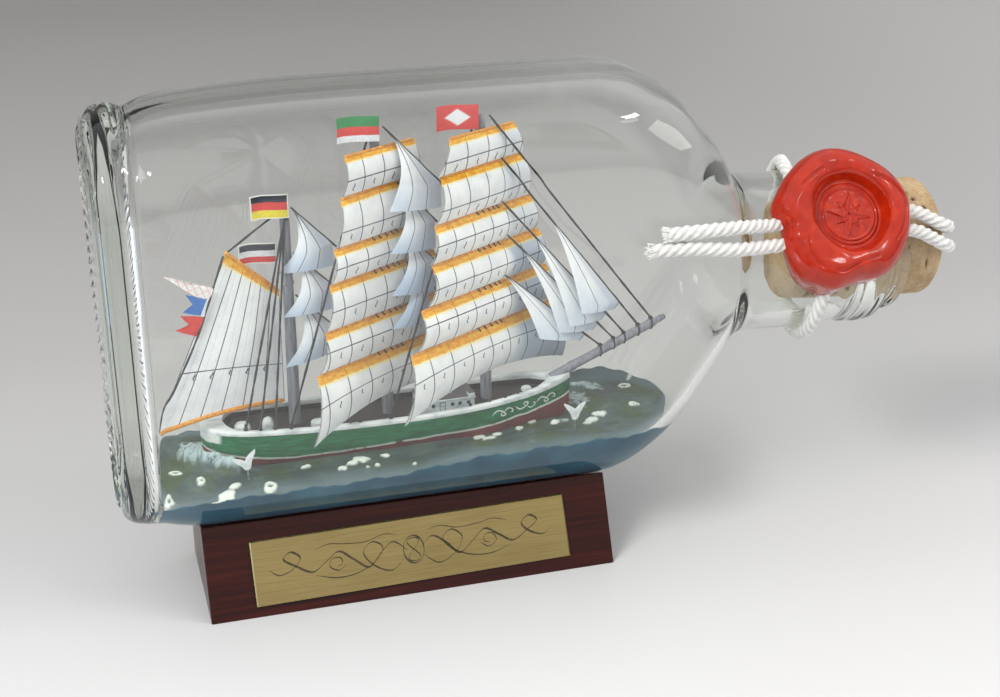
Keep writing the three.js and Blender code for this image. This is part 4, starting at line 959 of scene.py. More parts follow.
# deck with planks
wood2 = Mat("deck_brown", (0.05, 0.03, 0.02), 0.6)
o = wood2.obj()
x_, y_, z_ = wood2.xyz(o)
pl = wood2.math("ABSOLUTE", wood2.math("SUBTRACT", wood2.math("FRACT", wood2.math("DIVIDE", y_, 0.95)), 0.5))
gr = wood2.noise(0.6, wood2.scale(o, 0.15, 1, 1), 4, 0.6)
c = wood2.ramp(gr, [(0.3, srgb(24, 16, 15)), (0.7, srgb(44, 33, 30))])
c = wood2.mix(wood2.step(0.44, 0.48, pl), c, srgb(30, 22, 20))
wood2.color(c)
wood2.bump(wood2.math("SUBTRACT", gr, wood2.step(0.42, 0.48, pl)), 0.5, 0.06)
rows = []
for x in np.linspace(-31.4, 29.2, 90):
    w = max(0.25, (float(hull_beam(x)) - 1.15) * min((x + 31.4 + 0.02) / 2.2, (29.2 - x + 0.02) / 3, 1) ** 0.5)
    z0, z1 = float(deck_z(x)) + 0.08, float(deck_z(x)) + 0.55
    rows.append([(x, MY - w, z0), (x, MY + w, z0), (x, MY + w, z1), (x, MY + w * 0.5, z1 + 0.1), (x, MY, z1 + 0.13), (x, MY - w * 0.5, z1 + 0.1), (x, MY - w, z1)])
mesh("deck", np.array(rows).reshape(-1, 3), rings_faces(90, 7), wood2, "bottle", replaces=["deck"], sharp=40)


def seat(x):
    return float(deck_z(x)) + 0.64


# deckhouse: walls, a raised forward corner, a roof with a lip, windows and door frames
house = Mat("house_paint", srgb(206, 216, 224), 0.45)
o = house.obj()
k = house.noise(1.0, house.scale(o, 0.6, 1, 1), 4, 0.6)
hz1_ = 29.12 + 2.37
hx_, hy_, hzz = house.xyz(o)
hc = house.ramp(k, [(0.3, srgb(176, 188, 200)), (0.52, srgb(214, 221, 227)), (0.75, srgb(236, 239, 240))])
gn_ = house.n("ShaderNodeNewGeometry")
gs_ = house.n("ShaderNodeSeparateXYZ")
house.t.links.new(gn_.outputs["Normal"], gs_.inputs[0])
house.color(house.mix(house.math("MULTIPLY", house.step(0.7, 0.9, gs_.outputs[2]), 0.9), hc, srgb(62, 50, 46)))
house.bump(k, 0.5, 0.06)
dark = Mat("window_dark", srgb(44, 52, 66), 0.3)
dark.color(dark.ramp(dark.noise(0.3, dark.obj(), 2), [(0.3, srgb(36, 42, 54)), (0.7, srgb(66, 76, 92))]))
hz0, hz1 = max(seat(3.6), seat(14.2)) + 0.0, max(seat(3.6), seat(14.2)) + 2.37
hy = MY - 0.6


def block(x0, x1, y0, y1, z0, z1, slope=0.0):
    v = np.array([[x, y, z + (slope * (x - x0) if z == z1 else 0)] for x in (x0, x1) for (y, z) in ((y0, z0), (y1, z0), (y1, z1), (y0, z1))], float)
    return v, rings_faces(2, 4)


parts = [block(3.7, 14.1, hy - 2.75, hy + 2.75, hz0, hz1 - 0.28), block(3.55, 14.25, hy - 2.95, hy + 2.95, hz1 - 0.3, hz1, 0.01),
         block(12.9, 14.1, hy - 2.8, hy - 1.4, hz1 - 0.05, hz1 + 0.62, 0.1), block(5.4, 6.8, hy - 0.7, hy + 0.7, hz1 - 0.02, hz1 + 0.42), block(8.9, 10.3, hy - 0.6, hy + 0.8, hz1 - 0.02, hz1 + 0.36)]
v, f = join(parts)
h_ob = mesh("deckhouse", v, f, house, "bottle", smooth=False, replaces=["deckhouse"])
mod(h_ob, "BEVEL", width=0.09 * MM, segments=3, limit_method="ANGLE")
wins = []
for x in (4.9, 6.3, 9.9, 11.3, 12.9):
    a = np.linspace(0, 2 * pi, 17)[:-1]
    rr_ = np.array([[(x + 0.36 * math.cos(t), hy + yy, hz0 + 1.28 + 0.36 * math.sin(t)) for t in a] for yy in (-2.70, -2.79)])
    wins.append((rr_.reshape(-1, 3), rings_faces(2, 16)))
for (x0, x1) in ((7.5, 8.6),):
    for (a0, a1, b0, b1) in ((x0, x0 + 0.1, 0.15, 1.85), (x1 - 0.1, x1, 0.15, 1.85), (x0, x1, 1.76, 1.86), (x0 + 0.2, x1 - 0.2, 0.95, 1.02)):
        wins.append(block(a0, a1, hy - 2.79, hy - 2.70, hz0 + b0, hz0 + b1))
v, f = join(wins)
mesh("deckhouse_windows", v, f, dark, "bottle", smooth=False)

for name, x, dy, rx, ry, h in [("skylight_aft", -28.2, -1.6, 1.6, 1.4, 1.7), ("skylight_mid", -23.6, -1.4, 1.15, 1.2, 2.1), ("hatch_waist", -14.6, -1.8, 1.5, 1.3, 1.0), ("hatch_bow", 25.0, -0.2, 1.1, 0.9, 0.9)]:
    z0 = seat(x) + 0.05
    rows = []
    for t in np.linspace(0, 1, 12):
        s_ = float(np.interp(t, [0, 0.55, 0.86, 1], [1, 0.92, 0.66, 0.28]))
        a = np.arange(28) * 2 * pi / 28
        sq = (np.abs(np.cos(a)) ** 3.2 + np.abs(np.sin(a)) ** 3.2) ** (-1 / 3.2)
        rows.append(np.stack([x + rx * s_ * 0.93 * sq * np.cos(a), MY + dy + ry * s_ * 0.93 * sq * np.sin(a), np.full(28, z0 + h * t)], 1))
    rows = np.array(rows)
    n_ = fbm(rows.reshape(-1, 3), 0.9, 21, 3).reshape(rows.shape[:2])
    cen = np.array([x, MY + dy, z0 + h * 0.4])
    rows = rows + (rows - cen) * (0.07 * n_)[..., None]
    rows[..., 2] = np.maximum(rows[..., 2], z0)
    mesh(name, rows.reshape(-1, 3), rings_faces(12, 28), white, "bottle", replaces=[name])

# white scrollwork at the bow
scroll = []


def hull_side(x, z):
    b = float(hull_beam(x))
    zt = float(sheer(x))
    low = lerp(27.6, 22.2, math.sqrt(min(max((x + 35.4) / 8, 0), 1))) + 3.2 * min(max((x - 26) / 7.4, 0), 1) ** 2
    fm_ = 0.84 - 0.18 * min(max((x - 14) / 18, 0), 1)
    return MY - b * float(table([[0, 1], [0.35, 0.97], [0.68, fm_], [0.92, 0.5], [1, 0.02]])((zt - z) / (zt - low)))


def scroll_line(pts, w, n=60):
    p = spline([(x, z, 0) for x, z in pts], n=n)[:, :2]
    t = np.gradient(p, axis=0)
    t /= np.maximum(np.linalg.norm(t, axis=1, keepdims=True), 1e-9)
    nrm = np.stack([-t[:, 1], t[:, 0]], 1)
    k = np.linspace(0, 1, n)
    ww = w * np.clip(np.minimum(k, 1 - k) / 0.15, 0.25, 1)
    rows = []
    for q in range(n):
        a, b = p[q] + nrm[q] * ww[q] / 2, p[q] - nrm[q] * ww[q] / 2
        ya, yb = hull_side(*a), hull_side(*b)
        rows.append([(a[0], ya - 0.07, a[1]), (b[0], yb - 0.07, b[1]), (b[0], yb + 0.1, b[1]), (a[0], ya + 0.1, a[1])])
    return np.array(rows).reshape(-1, 3), rings_faces(n, 4)


for x0, s_ in ((18.6, 1), (23.2, -1), (27.6, 1)):
    z0 = float(sheer(x0)) - 1.5
    scroll.append(scroll_line([(x0 - 1.9, z0 - 0.35 * s_), (x0 - 0.9, z0 + 0.45 * s_), (x0 + 0.3, z0 + 0.05 * s_), (x0 + 0.75, z0 - 0.55 * s_), (x0 + 0.15, z0 - 0.75 * s_), (x0 - 0.15, z0 - 0.3 * s_), (x0 + 0.3, z0 - 0.1 * s_)], 0.24))
    scroll.append(scroll_line([(x0 + 0.5, z0 + 0.1 * s_), (x0 + 1.3, z0 + 0.6 * s_), (x0 + 2.1, z0 + 0.3 * s_), (x0 + 2.2, z0 - 0.25 * s_), (x0 + 1.7, z0 - 0.2 * s_)], 0.2))
v, f = join(scroll)
mesh("bow_scrollwork", v, f, white, "bottle", smooth=False)

# ------------------------------------------------------------------ masts and bowsprit
MAST = {"fore": ((17.25, 28.2), (16.35, 83.6), 1.08, 0.85), "main": ((-1.35, 28.2), (-2.35, 83.4), 1.08, 0.85), "mizzen": ((-18.5, 28.2), (-18.35, 70.6), 1.12, 0.85)}


def mast_x(name, z):
    (x0, z0), (x1, z1), _, _ = MAST[name]
    return lerp(x0, x1, (z - z0) / (z1 - z0))


spar = Mat("spar_grey", srgb(132, 138, 150), 0.6)
o = spar.obj()
g_ = spar.noise(0.45, spar.scale(o, 1, 1, 0.10), 4, 0.6)
g2_ = spar.noise(2.4, o, 3)
c = spar.ramp(g_, [(0.3, srgb(96, 100, 112)), (0.52, srgb(134, 139, 151)), (0.75, srgb(166, 169, 178))])
c = spar.mix(spar.math("MULTIPLY", g2_, 0.35), c, srgb(120, 112, 108))
spar.color(c)
spar.bump(g_, 0.6, 0.05)
for name, ((x0, z0), (x1, z1), r0, r1) in MAST.items():
    zs = seat(x0) + 0.06
    p = np.stack([np.array([mast_x(name, z) for z in np.linspace(zs, z1, 70)]), np.full(70, MY), np.linspace(zs, z1, 70)], 1)
    r = np.linspace(r0, r1, 70)
    r[-1] *= 0.55
    r[-2] *= 0.92
    parts = [tube_mesh(p, r, 20)]
    for zz in ([44.9, 60.3, 75.0] if name != "mizzen" else [56.5]):      # lashings
        zq = np.linspace(zz - 0.45, zz + 0.45, 5)
        parts.append(tube_mesh(np.stack([[mast_x(name, q) for q in zq], np.full(5, MY), zq], 1), np.array([0.98, 1.16, 1.2, 1.16, 0.98]) * lerp(r0, r1, (zz - z0) / (z1 - z0)), 20))
    v, f = join(parts)
    mesh(f"mast_{name}", v, f, spar, "bottle", replaces=[f"mast_{name}"], sharp=50)
sp0, sp1 = np.array([29.8, MY, 32.35]), np.array([50.2, MY, 41.35])
sdir = (sp1 - sp0) / np.linalg.norm(sp1 - sp0)
p = np.array([sp0 + sdir * t for t in np.linspace(0.0, np.linalg.norm(sp1 - sp0), 40)])
parts = [tube_mesh(p, np.concatenate([np.full(39, 0.85), [0.74]]), 20), tube_mesh(np.array([sp1 + sdir * t for t in (-0.3, 0.6, 1.4, 2.0, 2.2)]), np.array([0.62, 0.62, 0.6, 0.5, 0.3]), 18)]
for t_ in (4.5, 13.0):
    q = np.array([sp0 + sdir * (t_ + e) for e in (-0.5, -0.3, 0.3, 0.5)])
    parts.append(tube_mesh(q, np.array([0.86, 0.98, 0.98, 0.86]), 20))
v, f = join(parts)
mesh("bowsprit", v, f, spar, "bottle", replaces=["bowsprit"], sharp=50)


# ------------------------------------------------------------------ paper sails
def paper(name, lo, mid_, hi):
    m = Mat(name, mid_, 0.72, Specular_IOR_Level=0.3)
    o = m.obj()
    f1 = m.noise(0.35, o, 3, 0.6)
    f2 = m.noise(3.2, o, 3, 0.5)
    c = m.ramp(m.math("ADD", m.math("MULTIPLY", f1, 0.35), m.math("MULTIPLY", f2, 0.65)), [(0.36, lo), (0.5, mid_), (0.64, hi)])
    m.bump(m.math("ADD", f1, m.math("MULTIPLY", f2, 1.2)), 0.35, 0.03)
    return m, o, c, f1, f2


def band_of(m, v, half, soft=0.04):
    return m.step(half + soft, half - soft * 0.4, m.math("ABSOLUTE", v))


sail, o, c, f1, f2 = paper("sail_paper", srgb(232, 234, 240), srgb(244, 245, 248), srgb(251, 251, 252))
s_, d_, rf, ed, bd, painted_shade_fac = (sail.attr(k) for k in ("s", "d", "reef", "edge", "bd", "shade"))
# painted shade: the sail is tinted blue-grey where the shade attribute marks its shaded far part
c = sail.mix(sail.math("MULTIPLY", painted_shade_fac, 0.8), c, srgb(178, 192, 214))
seam_d = sail.math("MULTIPLY", sail.math("SUBTRACT", sail.math("FRACT", sail.math("ADD", sail.math("DIVIDE", s_, 4.6), 0.5)), 0.5), 4.6)
ink_n = sail.math("ADD", 0.66, sail.math("MULTIPLY", sail.noise(0.8, o, 2), 0.6), clamp=True)
lines_f = sail.math("MAXIMUM", band_of(sail, seam_d, 0.085), sail.math("MAXIMUM", band_of(sail, rf, 0.085), sail.math("MULTIPLY", sail.step(0.16, 0.08, ed), 0.7)))
c = sail.mix(sail.math("MULTIPLY", lines_f, ink_n), c, srgb(40, 44, 58))
wav = sail.math("ADD", bd, sail.math("MULTIPLY", sail.math("SUBTRACT", sail.noise(0.5, o, 3, 0.7), 0.5), 0.5))
c = sail.mix(sail.math("MULTIPLY", sail.step(1.5, 1.0, wav), 0.8), c, srgb(250, 224, 120))
och = sail.ramp(sail.noise(0.9, sail.scale(o, 0.5, 1, 1.6), 4, 0.65), [(0.32, srgb(222, 142, 36)), (0.5, srgb(240, 170, 46)), (0.66, srgb(250, 200, 72))])
c = sail.mix(sail.step(1.06, 0.94, wav), c, och)
c = sail.mix(sail.math("MULTIPLY", band_of(sail, seam_d, 0.06), sail.math("MULTIPLY", sail.step(1.1, 0.9, bd), 0.45)), c, srgb(120, 70, 30))
sail.color(c)
yard = Mat("yard_ochre", srgb(226, 150, 50), 0.6)
o = yard.obj()
yard.color(yard.ramp(yard.noise(0.7, o, 4, 0.6), [(0.3, srgb(190, 106, 34)), (0.55, srgb(226, 152, 50)), (0.75, srgb(240, 180, 70))]))
yard.bump(yard.noise(0.4, o, 3), 0.4, 0.04)
mark = Mat("reef_mark", srgb(70, 76, 92), 0.7)
mark.color(mark.ramp(mark.noise(0.6, mark.obj(), 2), [(0.3, srgb(52, 58, 74)), (0.7, srgb(104, 110, 126))]))
thread = Mat("black_thread", srgb(24, 24, 28), 0.75, Sheen_Weight=0.25)
thread.color(thread.ramp(thread.noise(0.5, thread.obj(), 3), [(0.3, srgb(14, 14, 18)), (0.7, srgb(52, 52, 58))]))

BR = math.radians(31)
sb, cb = math.sin(BR), math.cos(BR)
OUT = np.array([sb, -cb, 0])
SQUARE = {
    "fore": [["royal", 81.0, 7.6, 75.15, 10.4, 0.75, 0, 0, .62], ["upper_topgallant", 74.7, 10.9, 67.15, 12.4, 1.45, 0, 0, .66], ["lower_topgallant", 66.7, 12.8, 60.25, 14.2, 1.45, 0, 0, .47],
             ["upper_topsail", 59.8, 14.6, 52.75, 15.9, 1.5, 0, 0, .53], ["lower_topsail", 52.25, 16.3, 45.2, 17.4, 1.5, 0, 0, .35], ["course", 44.7, 18.0, 32.3, 20.2, 1.7, 3.6, 0, .37]],
    "main": [["royal", 79.3, 8.0, 72.75, 8.9, 0.95, 0, 0, .59], ["upper_topgallant", 72.3, 9.0, 64.35, 10.5, 1.05, 0, 0, .65], ["lower_topgallant", 63.9, 10.8, 58.35, 11.9, 1.0, 0, 0, .53],
             ["upper_topsail", 57.9, 12.0, 50.05, 13.3, 1.1, 0, 0, .54], ["lower_topsail", 49.6, 13.5, 42.75, 15.2, 1.15, 0, 0, .44], ["course", 42.3, 15.6, 30.2, 17.3, 1.5, 3.8, 0.6, .42]],
}
# how far each sail reaches to the near and the far side, as a share of its half width
REACH = {"fore_royal": (1.15, 0.95), "fore_upper_topgallant": (1.03, 0.86), "fore_lower_topgallant": (1.02, 0.88), "fore_upper_topsail": (0.96, 0.92), "fore_lower_topsail": (1.04, 0.95), "fore_course": (1.1, 1.0),
         "main_upper_topgallant": (1.05, 1.0), "main_lower_topgallant": (1.07, 1.0), "main_upper_topsail": (1.09, 1.0), "main_lower_topsail": (1.09, 1.0), "main_course": (1.1, 1.0)}
CURLS = [[(0.02, 0.72), (0.10, 0.40), (0.02, 0.08), (-0.12, -0.22), (-0.06, -0.52), (0.14, -0.60)], [(-0.02, 0.72), (0.06, 0.36), (-0.06, 0.02), (0.06, -0.32), (0.22, -0.52)]]
mark_parts, lash = [], []
SH_T = 0.2


def ribbon(points3, nrm, wdir, w, lift0, lift1):
    k = np.linspace(0, 1, len(points3))
    ww = (w * np.clip(np.minimum(k, 1 - k) / 0.2, 0.4, 1))[:, None]
    a, b = points3 + wdir * ww / 2, points3 - wdir * ww / 2
    rows = np.stack([a + nrm * lift1, b + nrm * lift1, b + nrm * lift0, a + nrm * lift0], 1)
    return rows.reshape(-1, 3), rings_faces(len(points3), 4)


rng = np.random.default_rng(4)
for mname, rows in SQUARE.items():
    for si, (nm, zh, hh, zf, hf, belly, arch, tilt, fr) in enumerate(rows):
        def PS(u, v):
            k = 2 * u - 1
            s = k * lerp(hh, hf, v) * np.where(k < 0, *REACH.get(f"{mname}_{nm}", (1, 1)))
            z = lerp(zh, zf + arch * (1 - k * k) + tilt * k, v)
            b = 1.25 + belly * np.sin(pi * np.clip(v, 0, 1)) ** 0.9
            return np.stack([mast_x(mname, z) + s * cb + b * sb, MY + s * sb - b * cb, z], -1)

        nu, nv = 64, (44 if arch else 28)
        U, Vv = np.meshgrid(np.linspace(0, 1, nu + 1), np.linspace(0, 1, nv + 1))
        P = PS(U, Vv)
        N = grid_normals(P)
        N *= np.sign((N @ OUT))[..., None]
        P = P + N * (0.10 * fbm(P, 4.0, 60 + si, 3) * smoothstep(0.0, 0.12, Vv))[..., None]
        verts, faces = sheet_mesh(P, N, nu, nv, SH_T)
        s = (2 * U - 1) * lerp(hh, hf, Vv)
        hgt = zh - (zf + arch * (1 - (2 * U - 1) ** 2))
        d = Vv * hgt
        bw = 1.3 if nm == "course" else (0.82 if mname == "main" else 0.9)
        if nm in ("lower_topsail", "upper_topsail"):
            bw *= 1.1
        at_ = {"s": s + (0.9 if si % 2 else 0.0), "d": d, "reef": (Vv - fr) * (zh - zf), "edge": (1 - np.abs(2 * U - 1)) * lerp(hh, hf, Vv), "bd": d / bw,
               # shade: painted shade over the far third of each sail, stronger on the lower sails and on the fore mast
               "shade": smoothstep(0.62, 0.72, U) * (0.35 + 0.65 * (si > 2)) * (1.0 if mname == "fore" else 0.7)}
        at_ = {k: np.concatenate([v.ravel(), v.ravel()]) for k, v in at_.items()}
        mesh(f"sail_{mname}_{nm}", verts, faces, sail, "bottle", replaces=[f"sail_{mname}_{nm}"], attrs=at_, sharp=60)
        head = PS(np.linspace(0, 1, 40), np.zeros(40)) + [0, 0, 0.05]
        v, f = tube_mesh(head, np.concatenate([[0.14], np.full(38, 0.26), [0.14]]), 12)
        mesh(f"yard_{mname}_{nm}", v, f, yard, "bottle")
        # reef marks, one in each panel
        off = 0.9 if si % 2 else 0.0
        vm = fr + 1.25 / (zh - zf)
        half = lerp(hh, hf, vm)
        for kk in range(-6, 7):
            sc = (kk + 0.5) * 4.6 + (0.0 - off)
            if abs(sc) > half - 1.0:
                continue
            cur = np.array(CURLS[(kk + si) % 2]) * [1.3, 0.9 + 0.2 * rng.random()]
            q = spline([(a, b, 0) for a, b in cur], n=26)[:, :2]
            vv = np.clip(vm + (0.1 - q[:, 1]) / (zh - zf), 0, 0.985)
            uu = ((sc + q[:, 0]) / lerp(hh, hf, vv) + 1) / 2
            p3 = PS(uu, vv)
            p3 = p3 + OUT * 0.0
            t = np.gradient(p3, axis=0)
            w_ = np.cross(t, OUT)
            w_ /= np.linalg.norm(w_, axis=1, keepdims=True)
            gn = np.cross(np.gradient(PS(uu, np.clip(vv + 0.01, 0, 1)) - PS(uu, np.clip(vv - 0.01, 0, 1)), axis=0) * 0 + (PS(uu, np.clip(vv + 0.01, 0, 1)) - PS(uu, np.clip(vv - 0.01, 0, 1))), [cb, sb, 0])
            gn /= np.linalg.norm(gn, axis=1, keepdims=True)
            gn *= np.sign(gn @ OUT)[:, None]
            disp = (0.10 * fbm(p3, 4.0, 60 + si, 3))[:, None]
            mark_parts.append(ribbon(p3 + gn * disp, gn, w_, 0.2, 0.04, SH_T / 2 + 0.025))
        # dark lashings of the yard round the mast
        if si >= 2:
            for dx in (-2.6, -1.2, 0.3, 1.7, 2.9):
                cc = PS(np.array([(dx / hh + 1) / 2]), np.array([0.0]))[0]
                a = np.linspace(0, 2 * pi, 15)
                ring_ = cc + 0.36 * (np.cos(a)[:, None] * OUT + np.sin(a)[:, None] * np.array([0, 0, 1.0])) + np.linspace(-0.2, 0.2, 15)[:, None] * np.array([cb, sb, 0])
                lash.append(tube_mesh(ring_, 0.15, 8))
            cc = [PS(np.array([(dx / hh + 1) / 2]), np.array([0.0]))[0] + [0, 0, 0.42 + 0.12 * math.sin(3 * dx)] - OUT * 0.25 for dx in np.linspace(-3.2, 3.4, 12)]
            lash.append(tube_mesh(spline(cc, step=0.4), 0.15, 8))
v, f = join(mark_parts)
mesh("reef_marks", v, f, mark, "bottle", smooth=False)
v, f = join(lash)
mesh("yard_lashings", v, f, thread, "bottle")

# ------------------------------------------------------------------ staysails, jibs, spanker
stay, o, c, f1, f2 = paper("staysail_paper", srgb(232, 235, 242), srgb(241, 243, 248), srgb(248, 249, 251))
g, s1, s2, luff_painted_shade = (stay.attr(k) for k in ("g", "s1", "s2", "luff"))
# painted shade: the staysails turn blue towards the foot, more on the lower ones (the blue argument)
painted_shade_grade = stay.math("ADD", g, stay.math("MULTIPLY", stay.math("SUBTRACT", stay.noise(2.0, stay.scale(o, 1, 1, 0.3), 3), 0.5), 0.35))
c = stay.mix(stay.math("MULTIPLY", stay.step(0.3, 1.15, painted_shade_grade), 0.75), c, srgb(168, 194, 226))
# painted shade: the luff side of each staysail is greyed as the shaded side of its belly
c = stay.mix(stay.math("MULTIPLY", luff_painted_shade, 0.42), c, srgb(166, 176, 198))
ln = stay.math("MAXIMUM", band_of(stay, s1, 0.07), band_of(stay, s2, 0.07))
c = stay.mix(stay.math("MULTIPLY", ln, 0.8), c, srgb(58, 66, 84))
stay.color(c)


def strand_thread(a, b, r=0.19, sag=0.0, seed=0):
    a, b = np.array(a, float), np.array(b, float)
    L = np.linalg.norm(b - a)
    t = np.linspace(0, 1, max(8, int(L / 0.45)))
    p = a + (b - a) * t[:, None]
    p[:, 2] -= sag * np.sin(pi * t)
    lump = 1 + 0.16 * np.clip(fbm(p, 1.3, 200 + seed, 2), 0, 1) * 2 * smoothstep(0.3, 0.95, t)
    p = p + 0.05 * np.stack([fbm(p, 5, 300 + seed, 2), fbm(p, 5, 310 + seed, 2), fbm(p, 5, 320 + seed, 2)], 1) * np.sin(pi * t)[:, None]
    return tube_mesh(p, r * lump, 10, flat=0.16, twist=0.55)


def blob(c, r, seed=0):
    a, b = np.linspace(0.05, pi - 0.05, 9), np.arange(12) * 2 * pi / 12
    v = np.array([[(math.sin(x) * math.cos(y), math.sin(x) * math.sin(y), math.cos(x)) for y in b] for x in a]).reshape(-1, 3)
    v = v * (r * (1 + 0.3 * fbm(v * r + np.array(c), 0.5, seed, 2)))[:, None] + np.array(c)
    return v, rings_faces(9, 12)


stays = []


def Yp(x, z, dy=0.0):
    return np.array([x, MY + dy, z])


def stayed(name, st, luff0, luff1, low, clew, belly, hollow, seams=(0.34, 0.68), blue=1.0):
    nu, nv = 30, 34
    U, Vv = np.meshgrid(np.linspace(0, 1, nu + 1), 0.03 + 0.97 * np.linspace(0, 1, nv + 1))
    chord = (clew - luff0) / np.linalg.norm(clew - luff0)
    side = np.array([-chord[2], 0, chord[0]])
    u, v = U[..., None], Vv[..., None]
    L = luff0 + (clew - luff0) * v + side * hollow * np.sin(pi * v)
    a, b = np.linalg.norm(luff1 - luff0), np.linalg.norm(low - luff1)
    cut = a / (a + b)
    R_ = np.where(v < cut, luff0 + (luff1 - luff0) * (v / cut), luff1 + (low - luff1) * ((v - cut) / (1 - cut)))
    P = L + (R_ - L) * u
    P[..., 1] -= belly * np.sin(pi * U) * np.sin(pi * np.clip(0.12 + 0.88 * Vv, 0, 1) * 0.75)
    W = np.linalg.norm(R_ - L, axis=2)
    N = grid_normals(P)
    N *= np.sign(-N[..., 1:2] + 1e-9)
    verts, faces = sheet_mesh(P, N, nu, nv, 0.18)
    # g and luff carry painted shade: g, scaled by blue, grows towards the foot; luff covers the luff side
    at_ = {"g": Vv * blue, "s1": (U - seams[0]) * W, "s2": (U - seams[1]) * W, "luff": smoothstep(0.62, 0.78, U)}
    at_ = {k: np.concatenate([q.ravel(), q.ravel()]) for k, q in at_.items()}
    mesh(name, verts, faces, stay, "bottle", replaces=[name], attrs=at_, sharp=60)
    stays.append(strand_thread(st[0], st[1], seed=len(stays)))


for i, (z0, cx, cz, lz, dy) in enumerate([[69.9, -20.4, 58.9, 59.0, -1.75], [61.9, -20.0, 51.1, 51.2, -2.6], [54.1, -20.2, 41.8, 42.2, -3.1]]):
    ln_ = lambda x: z0 - 1.01 * (x + 17.2)
    e = mast_x("main", z0 - 14) - 1.45
    stayed(f"staysail_mizzen_{i + 1}", (Yp(-17.15, ln_(-17.15)), Yp(e, ln_(e))), Yp(-16.6, ln_(-16.6)), Yp(-10.4, ln_(-10.4)), Yp(-10.2, 43.0 if i == 2 else lz, -0.4), Yp(cx, cz, dy), 0.9, 2.1)
for i, (z0, cz, lz) in enumerate([[83.0, 68.9, 67.9], [75.4, 61.2, 60.4], [67.6, 53.4, 52.6], [62.2, 47.2, 46.6]]):
    ln_ = lambda x: z0 - 1.09 * (x + 1.0)
    x0, x1, s0 = [1.3, 2.3, 2.9, 3.4][i], [9.2, 8.0, 7.6, 6.6][i], [-0.75, 1.5, 2.1, 2.6][i]
    stayed(f"staysail_main_{i + 1}", (Yp(s0, ln_(s0)), Yp(15.55, ln_(15.55))), Yp(x0, ln_(x0)), Yp(x1, ln_(x1)), Yp(x1 - 0.1, lz, -0.6), Yp(-0.9, cz, -3.7), 0.8, 1.7, blue=[0.8, 1.0, 1.35, 1.5][i])


def on_sprit(x):
    return Yp(x, sp0[2] + (x - sp0[0]) * sdir[2] / sdir[0] + 1.15)


for name, a, bx, t0, t1, cc in [("jib_flying", (20.3, 75.4), 46.9, 0.37, 0.86, (34.6, 45.8, -3.4)), ("jib_outer", (20.4, 67.6), 44.1, 0.27, 0.85, (32.5, 43.4, -2.9)),
                                ("jib_inner", (21.4, 61.2), 42.0, 0.155, 0.852, (30.6, 42.2, -2.3)), ("fore_topmast_staysail", (21.0, 53.6), 39.4, 0.02, 0.84, (26.9, 41.4, -2.3))]:
    A, B = Yp(*a), on_sprit(bx)
    h, k_ = A + (B - A) * t0, A + (B - A) * t1
    stayed(name, (A, B), h, k_, k_ + [-1.2, -0.3, -1.0], Yp(*cc), 0.45, 0.5, seams=(0.42, 0.97), blue=0.75)
stays.append(strand_thread(Yp(18.1, 83.3), on_sprit(49.4), seed=40))
for bx in (49.4, 46.9, 44.1, 42.0, 39.4):
    stays.append(blob(on_sprit(bx), 0.42, int(bx)))
    stays.append(tube_mesh(np.array([on_sprit(bx) + [0, 1.0 * math.cos(a) * 0.95, -1.15 + 1.0 * math.sin(a)] for a in np.linspace(0, 2 * pi, 17)]), 0.16, 8))
v, f = join(stays)
mesh("stay_threads", v, f, thread, "bottle", replaces=["stay_fore_topmast"])

# spanker
throat, peak, tack, end_ = np.array([-20.1, MY - 0.5, 55.3]), np.array([-29.0, MY - 3.0, 64.0]), np.array([-20.3, MY - 0.6, 34.6]), np.array([-43.3, MY - 5.6, 33.2])


def spank(u, v):
    u, v = np.asarray(u, float)[..., None], np.asarray(v, float)[..., None]
    a, b = peak + (throat - peak) * u, end_ + (tack - end_) * u
    p = a + (b - a) * v
    p[..., 2] += (0.9 * np.sin(pi * u) * v)[..., 0]
    p[..., 1] -= (1.1 * np.sin(pi * u) * np.sin(pi * v))[..., 0]
    return p


nu, nv = 56, 60
U, Vv = np.meshgrid(np.linspace(0, 1, nu + 1), np.linspace(0, 1, nv + 1))
P = spank(U, Vv)
N = grid_normals(P)
N *= np.sign(-N[..., 1:2])
P = P + N * (0.12 * fbm(P, 6.0, 90, 3) * np.sin(pi * Vv))[..., None]
verts, faces = sheet_mesh(P, N, nu, nv, SH_T)
W = lerp(np.linalg.norm(throat - peak), np.linalg.norm(tack - end_), Vv)
cell = W / 6.0
seam = (((U * 6.0 + 0.5) % 1) - 0.5) * cell
